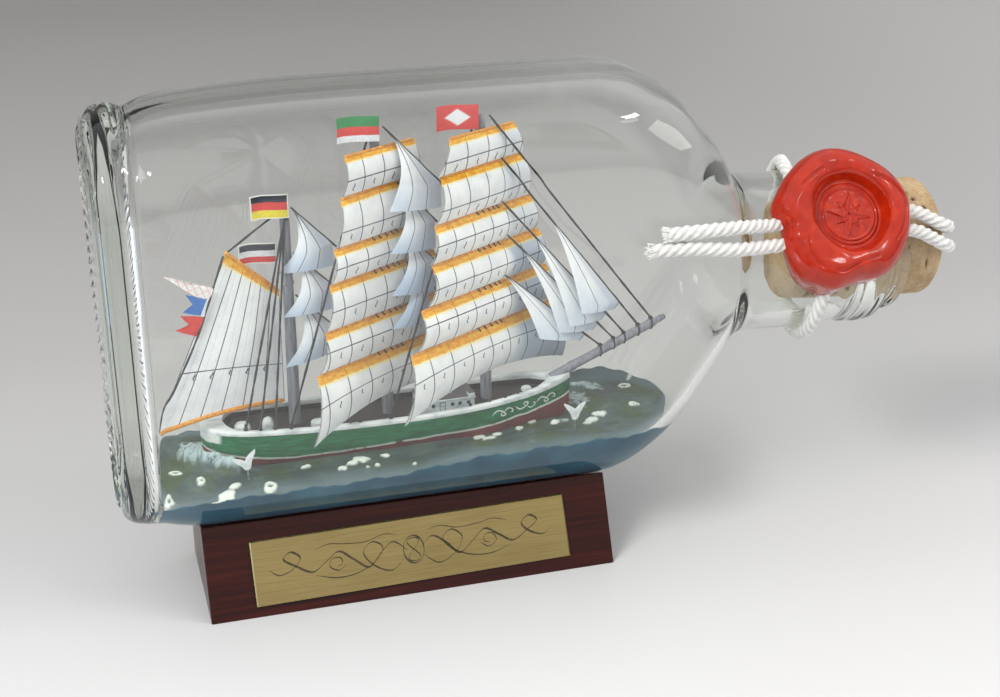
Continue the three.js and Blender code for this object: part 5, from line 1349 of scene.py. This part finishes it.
# shade: painted shade, a faint blue-grey over the whole spanker that deepens towards the mast
at_ = {"s": seam, "d": Vv * 26, "reef": (Vv - 0.66) * 27.0, "edge": np.minimum(U, 1 - U) * W, "bd": Vv * 26 / 1.25, "shade": 0.06 + 0.25 * smoothstep(0.7, 0.95, U)}
at_ = {k: np.concatenate([q.ravel(), q.ravel()]) for k, q in at_.items()}
mesh("spanker", verts, faces, sail, "bottle", replaces=["spanker"], attrs=at_, sharp=60)
parts = []
k = np.linspace(-0.03, 1.0, 40)
parts.append(tube_mesh(spank(k, np.zeros(40)), np.concatenate([[0.18], np.full(38, 0.36), [0.2]]), 14))
parts.append(tube_mesh(spank(np.linspace(0, 1, 40), np.ones(40)), np.concatenate([[0.22], np.full(38, 0.46), [0.24]]), 14))
curls = []
for kk in range(1, 6):                         # the reef line's tufts
    u0, v0 = kk / 6.0 - 0.02, 0.665
    cur = np.array(CURLS[kk % 2]) * [1.3, 1.0]
    q = spline([(a, b, 0) for a, b in cur], n=24)[:, :2]
    wid = float(lerp(np.linalg.norm(throat - peak), np.linalg.norm(tack - end_), v0))
    p3 = spank(u0 + q[:, 0] / wid, np.clip(v0 + (0.8 - q[:, 1]) / 27.0, 0, 0.98))
    nn = np.cross(spank(np.array([u0 + 0.02]), np.array([v0])) - spank(np.array([u0]), np.array([v0])), spank(np.array([u0]), np.array([v0 + 0.02])) - spank(np.array([u0]), np.array([v0])))[0]
    nn *= -np.sign(nn[1]) / np.linalg.norm(nn)
    t = np.gradient(p3, axis=0)
    w_ = np.cross(t, nn)
    w_ /= np.linalg.norm(w_, axis=1, keepdims=True)
    curls.append(ribbon(p3, nn, w_, 0.18, 0.02, SH_T / 2 + 0.1))
cv_, cf_ = join(curls)
mesh("spanker_reef_marks", cv_, cf_, mark, "bottle", smooth=False)
v, f = join(parts)
mesh("gaff_and_boom", v, f, yard, "bottle")


# ------------------------------------------------------------------ flags and signal hoist
def flag_mat(name, stripes, edge=True):
    """stripes: (fraction from the top, colour) list."""
    m = Mat(name, (0.8, 0.8, 0.8), 0.7)
    o = m.obj()
    fv, fe, fc = m.attr("fv"), m.attr("fe"), m.attr("fc")
    n_ = m.noise(0.4, o, 3, 0.6)
    vv = m.math("ADD", fv, m.math("MULTIPLY", m.math("SUBTRACT", m.noise(1.2, o, 2), 0.5), 0.04))
    c = None
    for top_, col in stripes:
        dark_, lite = tuple(x * 0.82 for x in col), tuple(min(1, x * 1.12) for x in col)
        cc = m.ramp(n_, [(0.3, dark_), (0.7, lite)])
        c = cc if c is None else m.mix(m.step(top_ - 0.015, top_ + 0.015, vv), c, cc)
    if edge:
        c = m.mix(m.step(0.22, 0.12, fe), c, srgb(232, 232, 226))
    c = m.mix(fc, c, srgb(232, 234, 238))
    m.color(c)
    m.bump(n_, 0.3, 0.03)
    return m


NAVY, RED, GOLD, WHITE, GREEN, BLUE = srgb(38, 42, 58), srgb(212, 58, 54), srgb(226, 208, 40), srgb(228, 231, 238), srgb(30, 132, 70), srgb(52, 112, 190)


def flag(name, x0, x1, z0, z1, dy, m, charge=None, fold=0.0):
    nu, nv = 48, 24
    U, Vv = np.meshgrid(np.linspace(0, 1, nu + 1), np.linspace(0, 1, nv + 1))
    P = np.stack([lerp(x0, x1, U), MY + dy + 0.25 * np.sin(2 * pi * U) + fold * np.abs(U - 0.55), lerp(z1, z0, Vv) + 0.2 * np.sin(pi * U)], -1)
    P[..., 0] += 0.05 * fbm(P, 1.4, 7, 2)
    P[..., 2] += 0.05 * fbm(P, 1.4, 9, 2)
    N = grid_normals(P)
    N *= np.sign(-N[..., 1:2])
    verts, faces = sheet_mesh(P, N, nu, nv, 0.2)
    w, h = x1 - x0, z1 - z0
    fe = np.minimum(np.minimum(U, 1 - U) * w, np.minimum(Vv, 1 - Vv) * h)
    fc = np.zeros_like(U)
    if charge:
        fc = charge(U * w, (1 - Vv) * h, w, h)
    rep = lambda q: np.concatenate([q.ravel(), q.ravel()])
    mesh(name, verts, faces, m, "bottle", replaces=[name], attrs={"fv": rep(Vv), "fe": rep(fe), "fc": rep(fc)}, sharp=60)


flag("flag_mizzen_top", -24.3, -17.9, 68.9, 72.8, -2.1, flag_mat("flag_a", [(0, NAVY), (0.34, RED), (0.66, GOLD)]), fold=0.2)
flag("flag_gaff", -26.5, -20.0, 60.2, 63.8, 0.6, flag_mat("flag_b", [(0, NAVY), (0.36, WHITE), (0.66, RED)]))
flag("flag_main_top", -8.9, -1.7, 80.6, 84.9, -1.45, flag_mat("flag_c", [(0, GREEN), (0.40, RED), (0.74, WHITE)], edge=False))
diamond = lambda x, z, w, h: smoothstep(1.06, 0.94, np.abs(x - w / 2) / 2.2 + np.abs(z - h / 2) / 1.45)
flag("flag_fore_top", 8.3, 15.7, 81.4, 85.6, -1.45, flag_mat("flag_d", [(0, RED)], edge=False), diamond)

hoist_white = Mat("hoist_paper", (0.8, 0.8, 0.8), 0.7)
o = hoist_white.obj()
x_, y_, z_ = hoist_white.xyz(o)
gx = hoist_white.math("ABSOLUTE", hoist_white.math("SUBTRACT", hoist_white.math("FRACT", hoist_white.math("DIVIDE", hoist_white.math("ADD", x_, hoist_white.math("MULTIPLY", z_, 0.36)), 1.05)), 0.5))
gz = hoist_white.math("ABSOLUTE", hoist_white.math("SUBTRACT", hoist_white.math("FRACT", hoist_white.math("DIVIDE", hoist_white.math("ADD", z_, hoist_white.math("MULTIPLY", x_, -0.36)), 1.3)), 0.5))
grid = hoist_white.math("MAXIMUM", hoist_white.step(0.43, 0.46, gx), hoist_white.math("MULTIPLY", hoist_white.step(0.42, 0.46, gz), 0.5))
hoist_white.color(hoist_white.mix(grid, hoist_white.ramp(hoist_white.noise(0.5, o, 2), [(0.3, srgb(226, 222, 222)), (0.7, srgb(240, 238, 238))]), srgb(226, 150, 148)))
plainm = {}
for nm, col in (("hoist_blue", BLUE), ("hoist_red", RED), ("hoist_plain", WHITE)):
    m_ = Mat(nm, col, 0.7)
    m_.color(m_.ramp(m_.noise(0.5, m_.obj(), 3), [(0.3, tuple(q * 0.85 for q in col)), (0.7, tuple(min(1, q * 1.12) for q in col))]))
    plainm[nm] = m_


def flat_piece(name, pts, m, y=-4.9, t=0.1, replaces=()):
    """A flat paper cut-out: outline (x, z), faint curl."""
    pts = np.array(pts, float)
    out = []
    for a, b in zip(pts, np.roll(pts, -1, 0)):
        out += [a + (b - a) * k / 6 for k in range(6)]
    out = np.array(out)
    c_ = out.mean(0)
    yy = MY + y + 0.18 * np.sin(1.3 * (out[:, 0] - c_[0]))
    v = np.vstack([np.stack([out[:, 0], yy - t, out[:, 1]], 1), np.stack([out[:, 0], yy + t, out[:, 1]], 1)])
    ob = mesh(name, v, rings_faces(2, len(out)), m, "bottle", smooth=False, replaces=replaces)
    return ob


flat_piece("hoist_streamer", [(-39.7, 61.6), (-31.7, 58.7), (-32.6, 55.9)], hoist_white, replaces=["signal_hoist"])
flat_piece("hoist_two_fly", [(-36.4, 58.1), (-35.3, 56.2), (-37.1, 55.0), (-34.1, 54.0), (-32.9, 56.9)], plainm["hoist_blue"], y=-4.95)
flat_piece("hoist_two_hoist", [(-34.15, 54.0), (-33.3, 53.7), (-32.2, 56.4), (-32.95, 56.85)], plainm["hoist_plain"])
flat_piece("hoist_three", [(-37.6, 54.4), (-36.2, 52.6), (-38.5, 51.8), (-34.9, 50.2), (-33.4, 53.6)], plainm["hoist_red"])

# ------------------------------------------------------------------ threads down to the starboard rail, halyards
def rail(x):
    return np.array([x, MY - float(hull_beam(x)) + 0.55, float(cap_top(x)) + 0.24])


mz, mm_, fm_ = np.array([-18.4, MY - 1.45, 69.4]), np.array([-3.55, MY - 0.6, 81.1]), np.array([15.1, MY - 0.6, 82.4])
parts = [strand_thread(mz, rail(x), seed=50 + i) for i, x in enumerate((-28, -25.5, -22.9))] + [blob(mz, 0.44, 3), blob(mz + [0.1, 0.1, -0.9], 0.36, 4)]
for x in (-28, -25.5, -22.9):
    parts += [blob(rail(x) + [0, 0, 0.1], 0.4, int(-x)), blob(rail(x) + [0.1, 0.1, 0.75], 0.3, int(-x) + 1)]
v, f = join(parts)
mesh("shrouds_mizzen", v, f, thread, "bottle", replaces=["shrouds_mizzen"])
v, f = join([strand_thread(mm_, rail(-20.2), seed=60), blob(rail(-20.2), 0.42, 5), blob(mm_, 0.34, 6)])
mesh("backstay_main", v, f, thread, "bottle", replaces=["backstay_main"])
v, f = join([strand_thread(fm_, rail(-2.2), seed=61), blob(rail(-2.2), 0.42, 7), blob(fm_, 0.34, 8)])
mesh("backstay_fore", v, f, thread, "bottle", replaces=["backstay_fore"])
parts = [tube_mesh(spline([(-29.6, MY - 4.0, 63.9), (-31.8, MY - 4.8, 58.4), (-35.0, MY - 4.95, 50.1), (-43.6, MY - 6.5, 33.9)], step=0.5), 0.19, 10, flat=0.16, twist=0.55),
         strand_thread((-28.6, MY - 2.9, 64.2), (-19.2, MY - 1.1, 70.0), seed=62), strand_thread((-18.3, MY - 1.3, 69.6), (-18.9, MY - 1.9, 66.4), seed=63)]
for x in (-12.5, -9.6, -7.8, 1.2, 12.6, 16.3, 19.4, 22.0):
    parts.append(blob(rail(x) + [0, 0.05, 0.02], 0.34, int(x) + 90))
v, f = join(parts)
mesh("halyards_and_knots", v, f, thread, "bottle")

# ------------------------------------------------------------------ gulls
gullm = Mat("gull_paper", srgb(236, 238, 240), 0.6)
gullm.color(gullm.ramp(gullm.noise(0.5, gullm.obj(), 3), [(0.3, srgb(206, 212, 218)), (0.7, srgb(244, 245, 246))]))
wire = Mat("gull_wire", srgb(150, 155, 158), 0.4, 0.6)
wire.color(wire.ramp(wire.noise(0.5, wire.obj(), 2), [(0.3, srgb(120, 126, 130)), (0.7, srgb(190, 194, 196))]))
for name, x, y, z, tips in [("gull_aft", -28.6, MY - 9.6, 26.4, [(-31.2, 28.6), (-27.2, 30.0)]), ("gull_bow", 31.6, MY - 9, 27.7, [(29.5, 30.9), (33.6, 30.9)])]:
    parts = []
    for tx, tz in tips:
        p = spline([(x, y, z - 0.1), (lerp(x, tx, 0.45) + (0.35 if tx < x else -0.35), y - 0.1, lerp(z, tz, 0.5) + 0.1), (lerp(x, tx, 0.8), y, lerp(z, tz, 0.86)), (tx, y, tz)], n=26)
        t = np.gradient(p, axis=0)
        t /= np.linalg.norm(t, axis=1, keepdims=True)
        w_ = np.cross(t, [0, 1, 0])
        k = np.linspace(0, 1, 26)
        ww = (0.55 * (1 - k) ** 0.6 + 0.30 * np.sin(pi * k) + 0.07)[:, None]
        rows = np.stack([p + w_ * ww * 0.75 + [0, -0.12, 0], p - w_ * ww * 0.75 + [0, -0.12, 0], p - w_ * ww * 0.75 + [0, 0.12, 0], p + w_ * ww * 0.75 + [0, 0.12, 0]], 1)
        parts.append((rows.reshape(-1, 3), rings_faces(26, 4)))
    parts.append(blob((x, y, z), 0.36, 9))
    v, f = join(parts)
    mesh(name, v, f, gullm, "bottle", replaces=[name], sharp=40)
    zl = sea_z(x + 0.1, y) - 0.3
    v, f = tube_mesh(np.array([[x + 0.02 * q, y, lerp(z, zl, q)] for q in np.linspace(0, 1, 12)]), 0.15, 10)
    mesh(name + "_wire", v, f, wire, "bottle")


# ------------------------------------------------------------------ cord
run_ = table([[60, 30], [67.5, 29.5], [80, 30.5], [91, 32], [94.5, 31.5], [97.5, 28.5], [100.5, 23.5], [103.5, 17.5], [106, 15], [114, 15]])
CR = 1.3
NR = 14.8 + CR + 0.3


def across(x, d_, o_):
    a = math.radians(float(run_(x)))
    return np.array([x, MY - d_ * math.cos(a) + o_ * math.sin(a), AZ + d_ * math.sin(a) + o_ * math.cos(a)])


def lay_(x, r, o_):
    return across(x, math.copysign(math.sqrt(max(0, r * r - o_ * o_)), r), o_)


def strand(o_, tail):
    return [np.array(t, float) for t in tail] + [lay_(67.5, NR, o_), lay_(80, NR, o_), lay_(87.2, 16.6, o_), lay_(91, 16.6, o_), lay_(96.4, 15.2, o_), lay_(100, 13.9, o_), lay_(103, 13.0, o_), across(105.2, 10.6, o_), across(105.8, 5.4, o_),
            across(105.8, -5.4, o_), across(105.2, -10.6, o_), lay_(103, -13.0, o_), lay_(100, -13.9, o_), lay_(96.4, -15.2, o_), lay_(91, -16.6, o_), lay_(84.5, -16.5, o_)]


upper = strand(1.95, [(44.2, MY - 19.9, 65.3), (53, MY - 19.0, 65.0), (60.3, MY - 16.7, 64.1)])
lower = strand(-1.75, [(41.4, MY - 20.0, 62.7), (49, MY - 19.7, 62.3), (57.6, MY - 18.5, 60.8)])
loop_x = table([[0, 80.0], [0.07, 77.2], [0.157, 76.8], [0.2, 77.0], [0.252, 77.9], [0.32, 79.0], [0.42, 79.8], [0.55, 80.0], [0.68, 79.6], [0.75, 78.9], [0.818, 77.6], [0.887, 75.4], [0.95, 74.3], [1, 75.2]])
loop = []
for i in range(25):
    t = i / 24
    a = math.radians(lerp(14, -304, t))
    loop.append((float(loop_x(t)), MY - NR * math.cos(a), AZ + NR * math.sin(a)))

cotton = Mat("cotton", srgb(232, 232, 228), 0.85, Sheen_Weight=0.3, Sheen_Roughness=0.5)
crease_shade = cotton.attr("crease_shade")
uvv = cotton.uv()
fibre = cotton.noise(0.16, cotton.scale(uvv, 0.22, 1.0, 1), 3, 0.6)
fine = cotton.noise(0.12, cotton.obj(), 2, 0.6)
# painted shade: the cord darkens in the creases between its strands
c = cotton.mix(cotton.math("MULTIPLY", crease_shade, 0.75), cotton.ramp(fibre, [(0.3, srgb(218, 218, 214)), (0.6, srgb(240, 240, 238))]), srgb(206, 205, 200))
cotton.color(c)
cotton.bump(cotton.math("ADD", fibre, cotton.math("MULTIPLY", fine, 0.6)), 0.9, 0.10)


def rope(name, pts, seed, replaces_, exit_end, far):
    p = spline(pts, step=0.27)
    t, S, U = frames(p, (0.2, 0.3, 1))
    s = np.concatenate([[0], np.cumsum(np.linalg.norm(np.diff(p, axis=0), axis=1))])
    sides, layl = 48, 7.6
    a = np.arange(sides) * 2 * pi / sides
    th = a[None, :] - 2 * pi * s[:, None] / layl
    ph = ((th + pi / 4) % (pi / 2)) - pi / 4
    rs, dd = 0.47 * CR, 0.53 * CR
    r = dd * np.cos(ph) + np.sqrt(np.maximum(rs**2 - (dd * np.sin(ph)) ** 2, 0))
    r = np.maximum(r, 0.82 * CR)
    # this mask marks the creases between strands, where painted shade goes
    crease_shade_mask = smoothstep(0.95 * CR, 0.82 * CR, r)
    r = r + 0.035 * np.sin(7 * ph + 2.2 * s[:, None] * 2 * pi / layl * 3) * (1 - crease_shade_mask)
    v = p[:, None, :] + r[..., None] * (np.cos(a)[None, :, None] * S[:, None, :] + np.sin(a)[None, :, None] * U[:, None, :])
    nz = fbm(v.reshape(-1, 3), 0.6, seed, 3).reshape(r.shape)
    r = r * (1 + 0.05 * nz)
    endf = np.minimum(smoothstep(-0.2, 0.5, s), smoothstep(-0.2, 0.5, s[-1] - s))
    flare = 1 + 0.10 * (np.exp(-s / 0.9) + np.exp(-(s[-1] - s) / 0.9))
    r = r * (0.62 + 0.38 * endf)[:, None] * flare[:, None]
    v = p[:, None, :] + r[..., None] * (np.cos(a)[None, :, None] * S[:, None, :] + np.sin(a)[None, :, None] * U[:, None, :])
    if far == "bare":                          # pressed flat where the seal covers it
        cov = smoothstep(69.0, 71.0, v[..., 0]) * smoothstep(92.5, 90.8, v[..., 0]) * (v[..., 1] < MY)
        ry, rz = v[..., 1] - MY, v[..., 2] - AZ
        rho_ = np.hypot(ry, rz)
        k_ = lerp(1.0, (15.35 + (rho_ - 15.1) * 0.62) / rho_, cov)
        v = np.stack([v[..., 0], MY + ry * k_, AZ + rz * k_], -1)
    # fibres run nearly along the cord
    uvc = np.stack([np.repeat(s[:, None], sides, 1), ph * 1.6 + 0.0 * s[:, None]], -1).reshape(-1, 2)
    ob = mesh(name, v.reshape(-1, 3), rings_faces(len(p), sides), cotton, "bottle", replaces=[replaces_], attrs={"crease_shade": crease_shade_mask.ravel()}, uv=uvc)
    path = p[::3] if (len(p) - 1) % 3 == 0 else np.vstack([p[::3], p[-1]])
    if exit_end == "last":
        path = path[::-1]
    return p


pu_ = rope("cord_strand_upper", upper, 1, "cord_strand_upper", "last", "bare")
pl_ = rope("cord_strand_lower", lower, 2, "cord_strand_lower", "last", "bare")
po_ = rope("cord_neck_loop", loop, 3, "cord_neck_loop", "first", "object")
rng = np.random.default_rng(11)
hairs = []
for p in (pu_, pl_):
    d0 = p[0] - p[4]
    d0 /= np.linalg.norm(d0)
    for k in range(46):
        a, q = rng.random() * 2 * pi, CR * 0.95 * math.sqrt(rng.random())
        side_ = np.array([0, math.cos(a), math.sin(a)])
        b = p[0] + side_ * q - d0 * 0.5
        L = 0.7 + 0.75 * rng.random()
        hairs.append(tube_mesh(np.array([b, b + d0 * L * 0.6 + side_ * 0.08, b + d0 * L + side_ * (0.1 + 0.35 * rng.random())]), np.array([0.14, 0.12, 0.05]), 6))
# the loop's loose ply ends behind the seal
for k in range(40):
    a = rng.random() * 2 * pi
    b = po_[-1] + np.array([0.3 * math.cos(a), 0.5 * math.sin(a), 0.5 * math.cos(a)])
    dirv = np.array([-0.75 + 0.5 * rng.random(), -0.3 + 0.6 * rng.random(), 0.6 + 0.4 * rng.random()])
    L = 1.2 + 1.2 * rng.random()
    hairs.append(tube_mesh(np.array([b, b + dirv * L * 0.6, b + dirv * L + [-0.3, 0, -0.1]]), np.array([0.14, 0.11, 0.05]), 6))
v, f = join(hairs)
ob = mesh("cord_ends", v, f, cotton, "bottle", attrs={"crease_shade": np.zeros(len(v))}, uv=np.zeros((len(v), 2)))

# ------------------------------------------------------------------ wax seal
al = math.radians(37)
outv, upv = np.array([0, -math.cos(al), math.sin(al)]), np.array([0, math.sin(al), math.cos(al)])
SC = np.array([81.0, MY, AZ]) + 15 * outv
nk = 288
K = np.arange(nk) * 2 * pi / nk
deg = np.degrees


def lump(k, at, wdt, h):
    d_ = (np.degrees(k) - at + 180) % 360 - 180
    return h * np.exp(-((d_ / wdt) ** 2))


edge_r = 12.9 + 0.45 * np.sin(2 * K + 0.6) + 0.30 * np.sin(3 * K + 2.0) + 0.18 * np.sin(5 * K) + lump(K, 186, 8, -0.75) + lump(K, 168, 11, 0.75) + lump(K, -110, 8, 0.45) + lump(K, -86, 12, -0.45) + lump(K, 222, 16, 0.65) + lump(K, -60, 14, 0.3)
top_h = table([[0, 2.45], [0.45, 2.45], [0.485, 2.3], [0.51, 2.5], [0.55, 3.5], [0.60, 4.55], [0.655, 5.0], [0.74, 5.1], [0.84, 4.75], [0.92, 4.0], [0.97, 3.0], [1.0, 1.9]])
ff = np.concatenate([np.linspace(0.004, 0.5, 74), np.linspace(0.505, 0.9, 52), np.linspace(0.91, 1.0, 18)])
Fg, Kg = np.meshgrid(ff, K, indexing="ij")
# the recess is a true circle shifted a little off the rim's centre
rho = Fg * edge_r[None, :]
X_, U_ = rho * np.cos(Kg), rho * np.sin(Kg) * 1.02
fr_ = np.hypot(X_ - 0.8, U_ - 0.2) / 12.7
mixr = smoothstep(0.75, 0.45, Fg)
fe_ = Fg * (1 - mixr) + fr_ * mixr
Hh = top_h(np.clip(fe_, 0, 1))
P3 = np.stack([X_, U_, np.zeros_like(X_)], -1)
rimw = smoothstep(0.5, 0.66, Fg) * smoothstep(1.02, 0.9, Fg)
Hh += rimw * (0.55 * fbm(P3, 7.5, 400, 2) + 0.05 * fbm(P3, 2.6, 410, 2))
# folds on the rim where the wax rolled over itself
for (k0, k1, f0, f1, dp) in ((48, 5, 0.70, 0.86, 0.42), (150, 108, 0.78, 0.70, 0.30), (-62, -118, 0.74, 0.84, 0.30), (8, -40, 0.86, 0.78, 0.28), (200, 236, 0.72, 0.86, 0.30)):
    kk = np.degrees(Kg)
    tpar = ((kk - min(k0, k1)) % 360) / abs(k1 - k0)
    fl = lerp(f0, f1, tpar if k1 > k0 else 1 - tpar)
    on = smoothstep(-0.02, 0.2, tpar) * smoothstep(1.02, 0.8, tpar) * (tpar <= 1.02)
    Hh -= dp * on * np.exp(-(((Fg - fl) / 0.022) ** 2)) - 0.4 * dp * on * np.exp(-(((Fg - fl - 0.05) / 0.035) ** 2))
# the stamp: a ring and an eight-pointed compass star in low relief
rr, an = np.hypot(X_ - 0.8, U_ - 0.2), np.arctan2(U_ - 0.2, X_ - 0.8) + math.radians(14)


def star(R1, R2, turn_):
    w = (an - turn_) % (pi / 2)
    w = np.minimum(w, pi / 2 - w)
    Rb = R1 * R2 * math.sin(pi / 4) / (R1 * np.sin(w) + R2 * np.sin(pi / 4 - w))
    side_ = np.sign(((an - turn_ + pi / 4) % (pi / 2)) - pi / 4)
    return smoothstep(0.16, -0.06, rr - Rb) * (0.30 + 0.10 * side_) * smoothstep(0.0, 0.3, rr), Rb


st1, _ = star(4.35, 1.25, 0)
st2, _ = star(3.1, 1.25, pi / 4)
rel = np.maximum(st1, 0.75 * st2)
rel += 0.26 * np.exp(-(((rr - 4.95) / 0.16) ** 2)) + 0.16 * np.exp(-(((rr - 5.55) / 0.13) ** 2)) + 0.14 * np.exp(-(((rr - 1.9) / 0.12) ** 2)) * (st1 < 0.05)
Hh += rel * smoothstep(6.1, 5.7, rr) + 0.03 * fbm(P3, 1.0, 430, 3) * smoothstep(0.62, 0.5, Fg)
topv = SC + X_[..., None] * np.array([1.0, 0, 0]) + U_[..., None] * upv + Hh[..., None] * outv
rows = [topv[i] for i in range(len(ff))]
for f_, h_ in ((1.006, 1.3), (1.002, 0.8), (0.985, 0.35), (0.96, 0.1)):
    x1, u1 = edge_r * f_ * np.cos(K), edge_r * f_ * np.sin(K) * 1.02
    zc = np.sqrt(np.maximum(15.02**2 - u1**2, 0)) - 15
    hh_ = lerp(zc, h_, np.clip(0.25 + 0.75 * (h_ / 1.3), 0, 1)) if f_ < 1.0 else np.full(nk, h_)
    rows.append(SC + x1[:, None] * np.array([1.0, 0, 0]) + u1[:, None] * upv + np.asarray(hh_)[:, None] * outv)
for f_ in np.linspace(0.94, 0.02, 14):
    x1, u1 = edge_r * f_ * np.cos(K), edge_r * f_ * np.sin(K) * 1.02
    zc = np.sqrt(np.maximum(15.02**2 - u1**2, 0)) - 15
    rows.append(SC + x1[:, None] * np.array([1.0, 0, 0]) + u1[:, None] * upv + zc[:, None] * outv)
wv = np.array(rows)
wax = Mat("red_wax", srgb(170, 33, 5), 0.2, Coat_Weight=0.18, Coat_Roughness=0.05, Specular_IOR_Level=0.4)
o = wax.obj()
w1, w2 = wax.noise(2.6, o, 4, 0.55, 0.5), wax.noise(0.6, o, 3)
wax.color(wax.ramp(w1, [(0.3, srgb(152, 27, 3)), (0.55, srgb(170, 34, 4)), (0.75, srgb(184, 47, 9))]))
wax.rough(wax.math("ADD", 0.12, wax.math("MULTIPLY", wax.step(0.45, 0.7, w2), 0.14)))
wax.bump(w1, 0.12, 0.10)
parts = [(wv.reshape(-1, 3), rings_faces(len(rows), nk))]
mesh("wax_seal", parts[0][0], parts[0][1], wax, "bottle", replaces=["wax_seal"])
# ------------------------------------------------------------------ cork
cork_r = table([[73.6, 8.6], [74.5, 9.4], [96.35, 10.92], [103.2, 11.3], [104, 10.6]])
cxs = np.concatenate([[73.6, 73.65, 73.8, 74.1, 74.5], np.linspace(74.9, 102.8, 96), [103.2, 103.5, 103.75, 103.9, 104.0]])
na = 200
A_ = np.arange(na) * 2 * pi / na
CX, CA = np.meshgrid(cxs, A_, indexing="ij")
Rr = cork_r(cxs)[:, None] * np.ones_like(CA)
Pc = np.stack([CX, MY + Rr * np.cos(CA), AZ + Rr * np.sin(CA)], -1)
slit = np.zeros_like(CX)
rng = np.random.default_rng(6)
SL_ = [(77.6, -140, 0.28, 17), (98.4, 118, 0.5, 2.2), (99.6, 122, 0.4, 2.4), (100.9, 133, 0.6, 2.0), (100.6, -172, 0.16, 6.5), (98.8, 160, 0.45, 3.0), (101.6, 152, 0.35, 3.2)]
for _ in range(46):
    SL_.append((75.5 + 26 * rng.random(), 360 * rng.random() - 180, 0.12 + 0.3 * rng.random(), 1.2 + 4.5 * rng.random()))
jitc = fbm(Pc, 1.0, 500, 3)
for (x0, adeg, wx, wa) in SL_:
    da = (np.degrees(CA) - adeg + 180) % 360 - 180
    d_ = np.hypot((CX - x0 + 0.35 * jitc) / wx, da / wa)
    slit = np.maximum(slit, smoothstep(1.05, 0.7, d_ + 0.35 * jitc))
Rr = Rr - 0.42 * slit + 0.06 * fbm(Pc, 2.5, 520, 3) - 0.0
Rr = np.minimum(Rr, np.where(CX < 96.35, 11.05, 11.6))
Pc = np.stack([CX, MY + Rr * np.cos(CA), AZ + Rr * np.sin(CA)], -1)
cork = Mat("cork", srgb(200, 172, 132), 0.72, Specular_IOR_Level=0.3)
o = cork.obj()
k1, k2 = cork.noise(3.0, cork.scale(o, 1, 0.6, 0.6), 5, 0.6), cork.noise(0.5, o, 4, 0.65)
vor = cork.voronoi(0.75, o)
c = cork.ramp(cork.math("ADD", cork.math("MULTIPLY", k1, 0.6), cork.math("MULTIPLY", k2, 0.4)), [(0.34, srgb(152, 126, 94)), (0.5, srgb(180, 155, 120)), (0.66, srgb(200, 178, 146))])
c = cork.mix(cork.math("MULTIPLY", cork.step(0.70, 0.78, cork.noise(0.9, cork.scale(o, 1.6, 0.6, 0.6), 3, 0.6)), 0.55), c, srgb(132, 92, 62))
c = cork.mix(cork.math("MULTIPLY", cork.attr("slit"), 0.9), c, srgb(62, 40, 26))
cork.color(c)
cork.bump(cork.math("ADD", cork.math("MULTIPLY", vor, 0.5), k2), 0.5, 0.10)
mesh("cork", Pc.reshape(-1, 3), rings_faces(len(cxs), na), cork, "bottle", replaces=["cork_stopper"], attrs={"slit": slit.ravel()}, sharp=50)
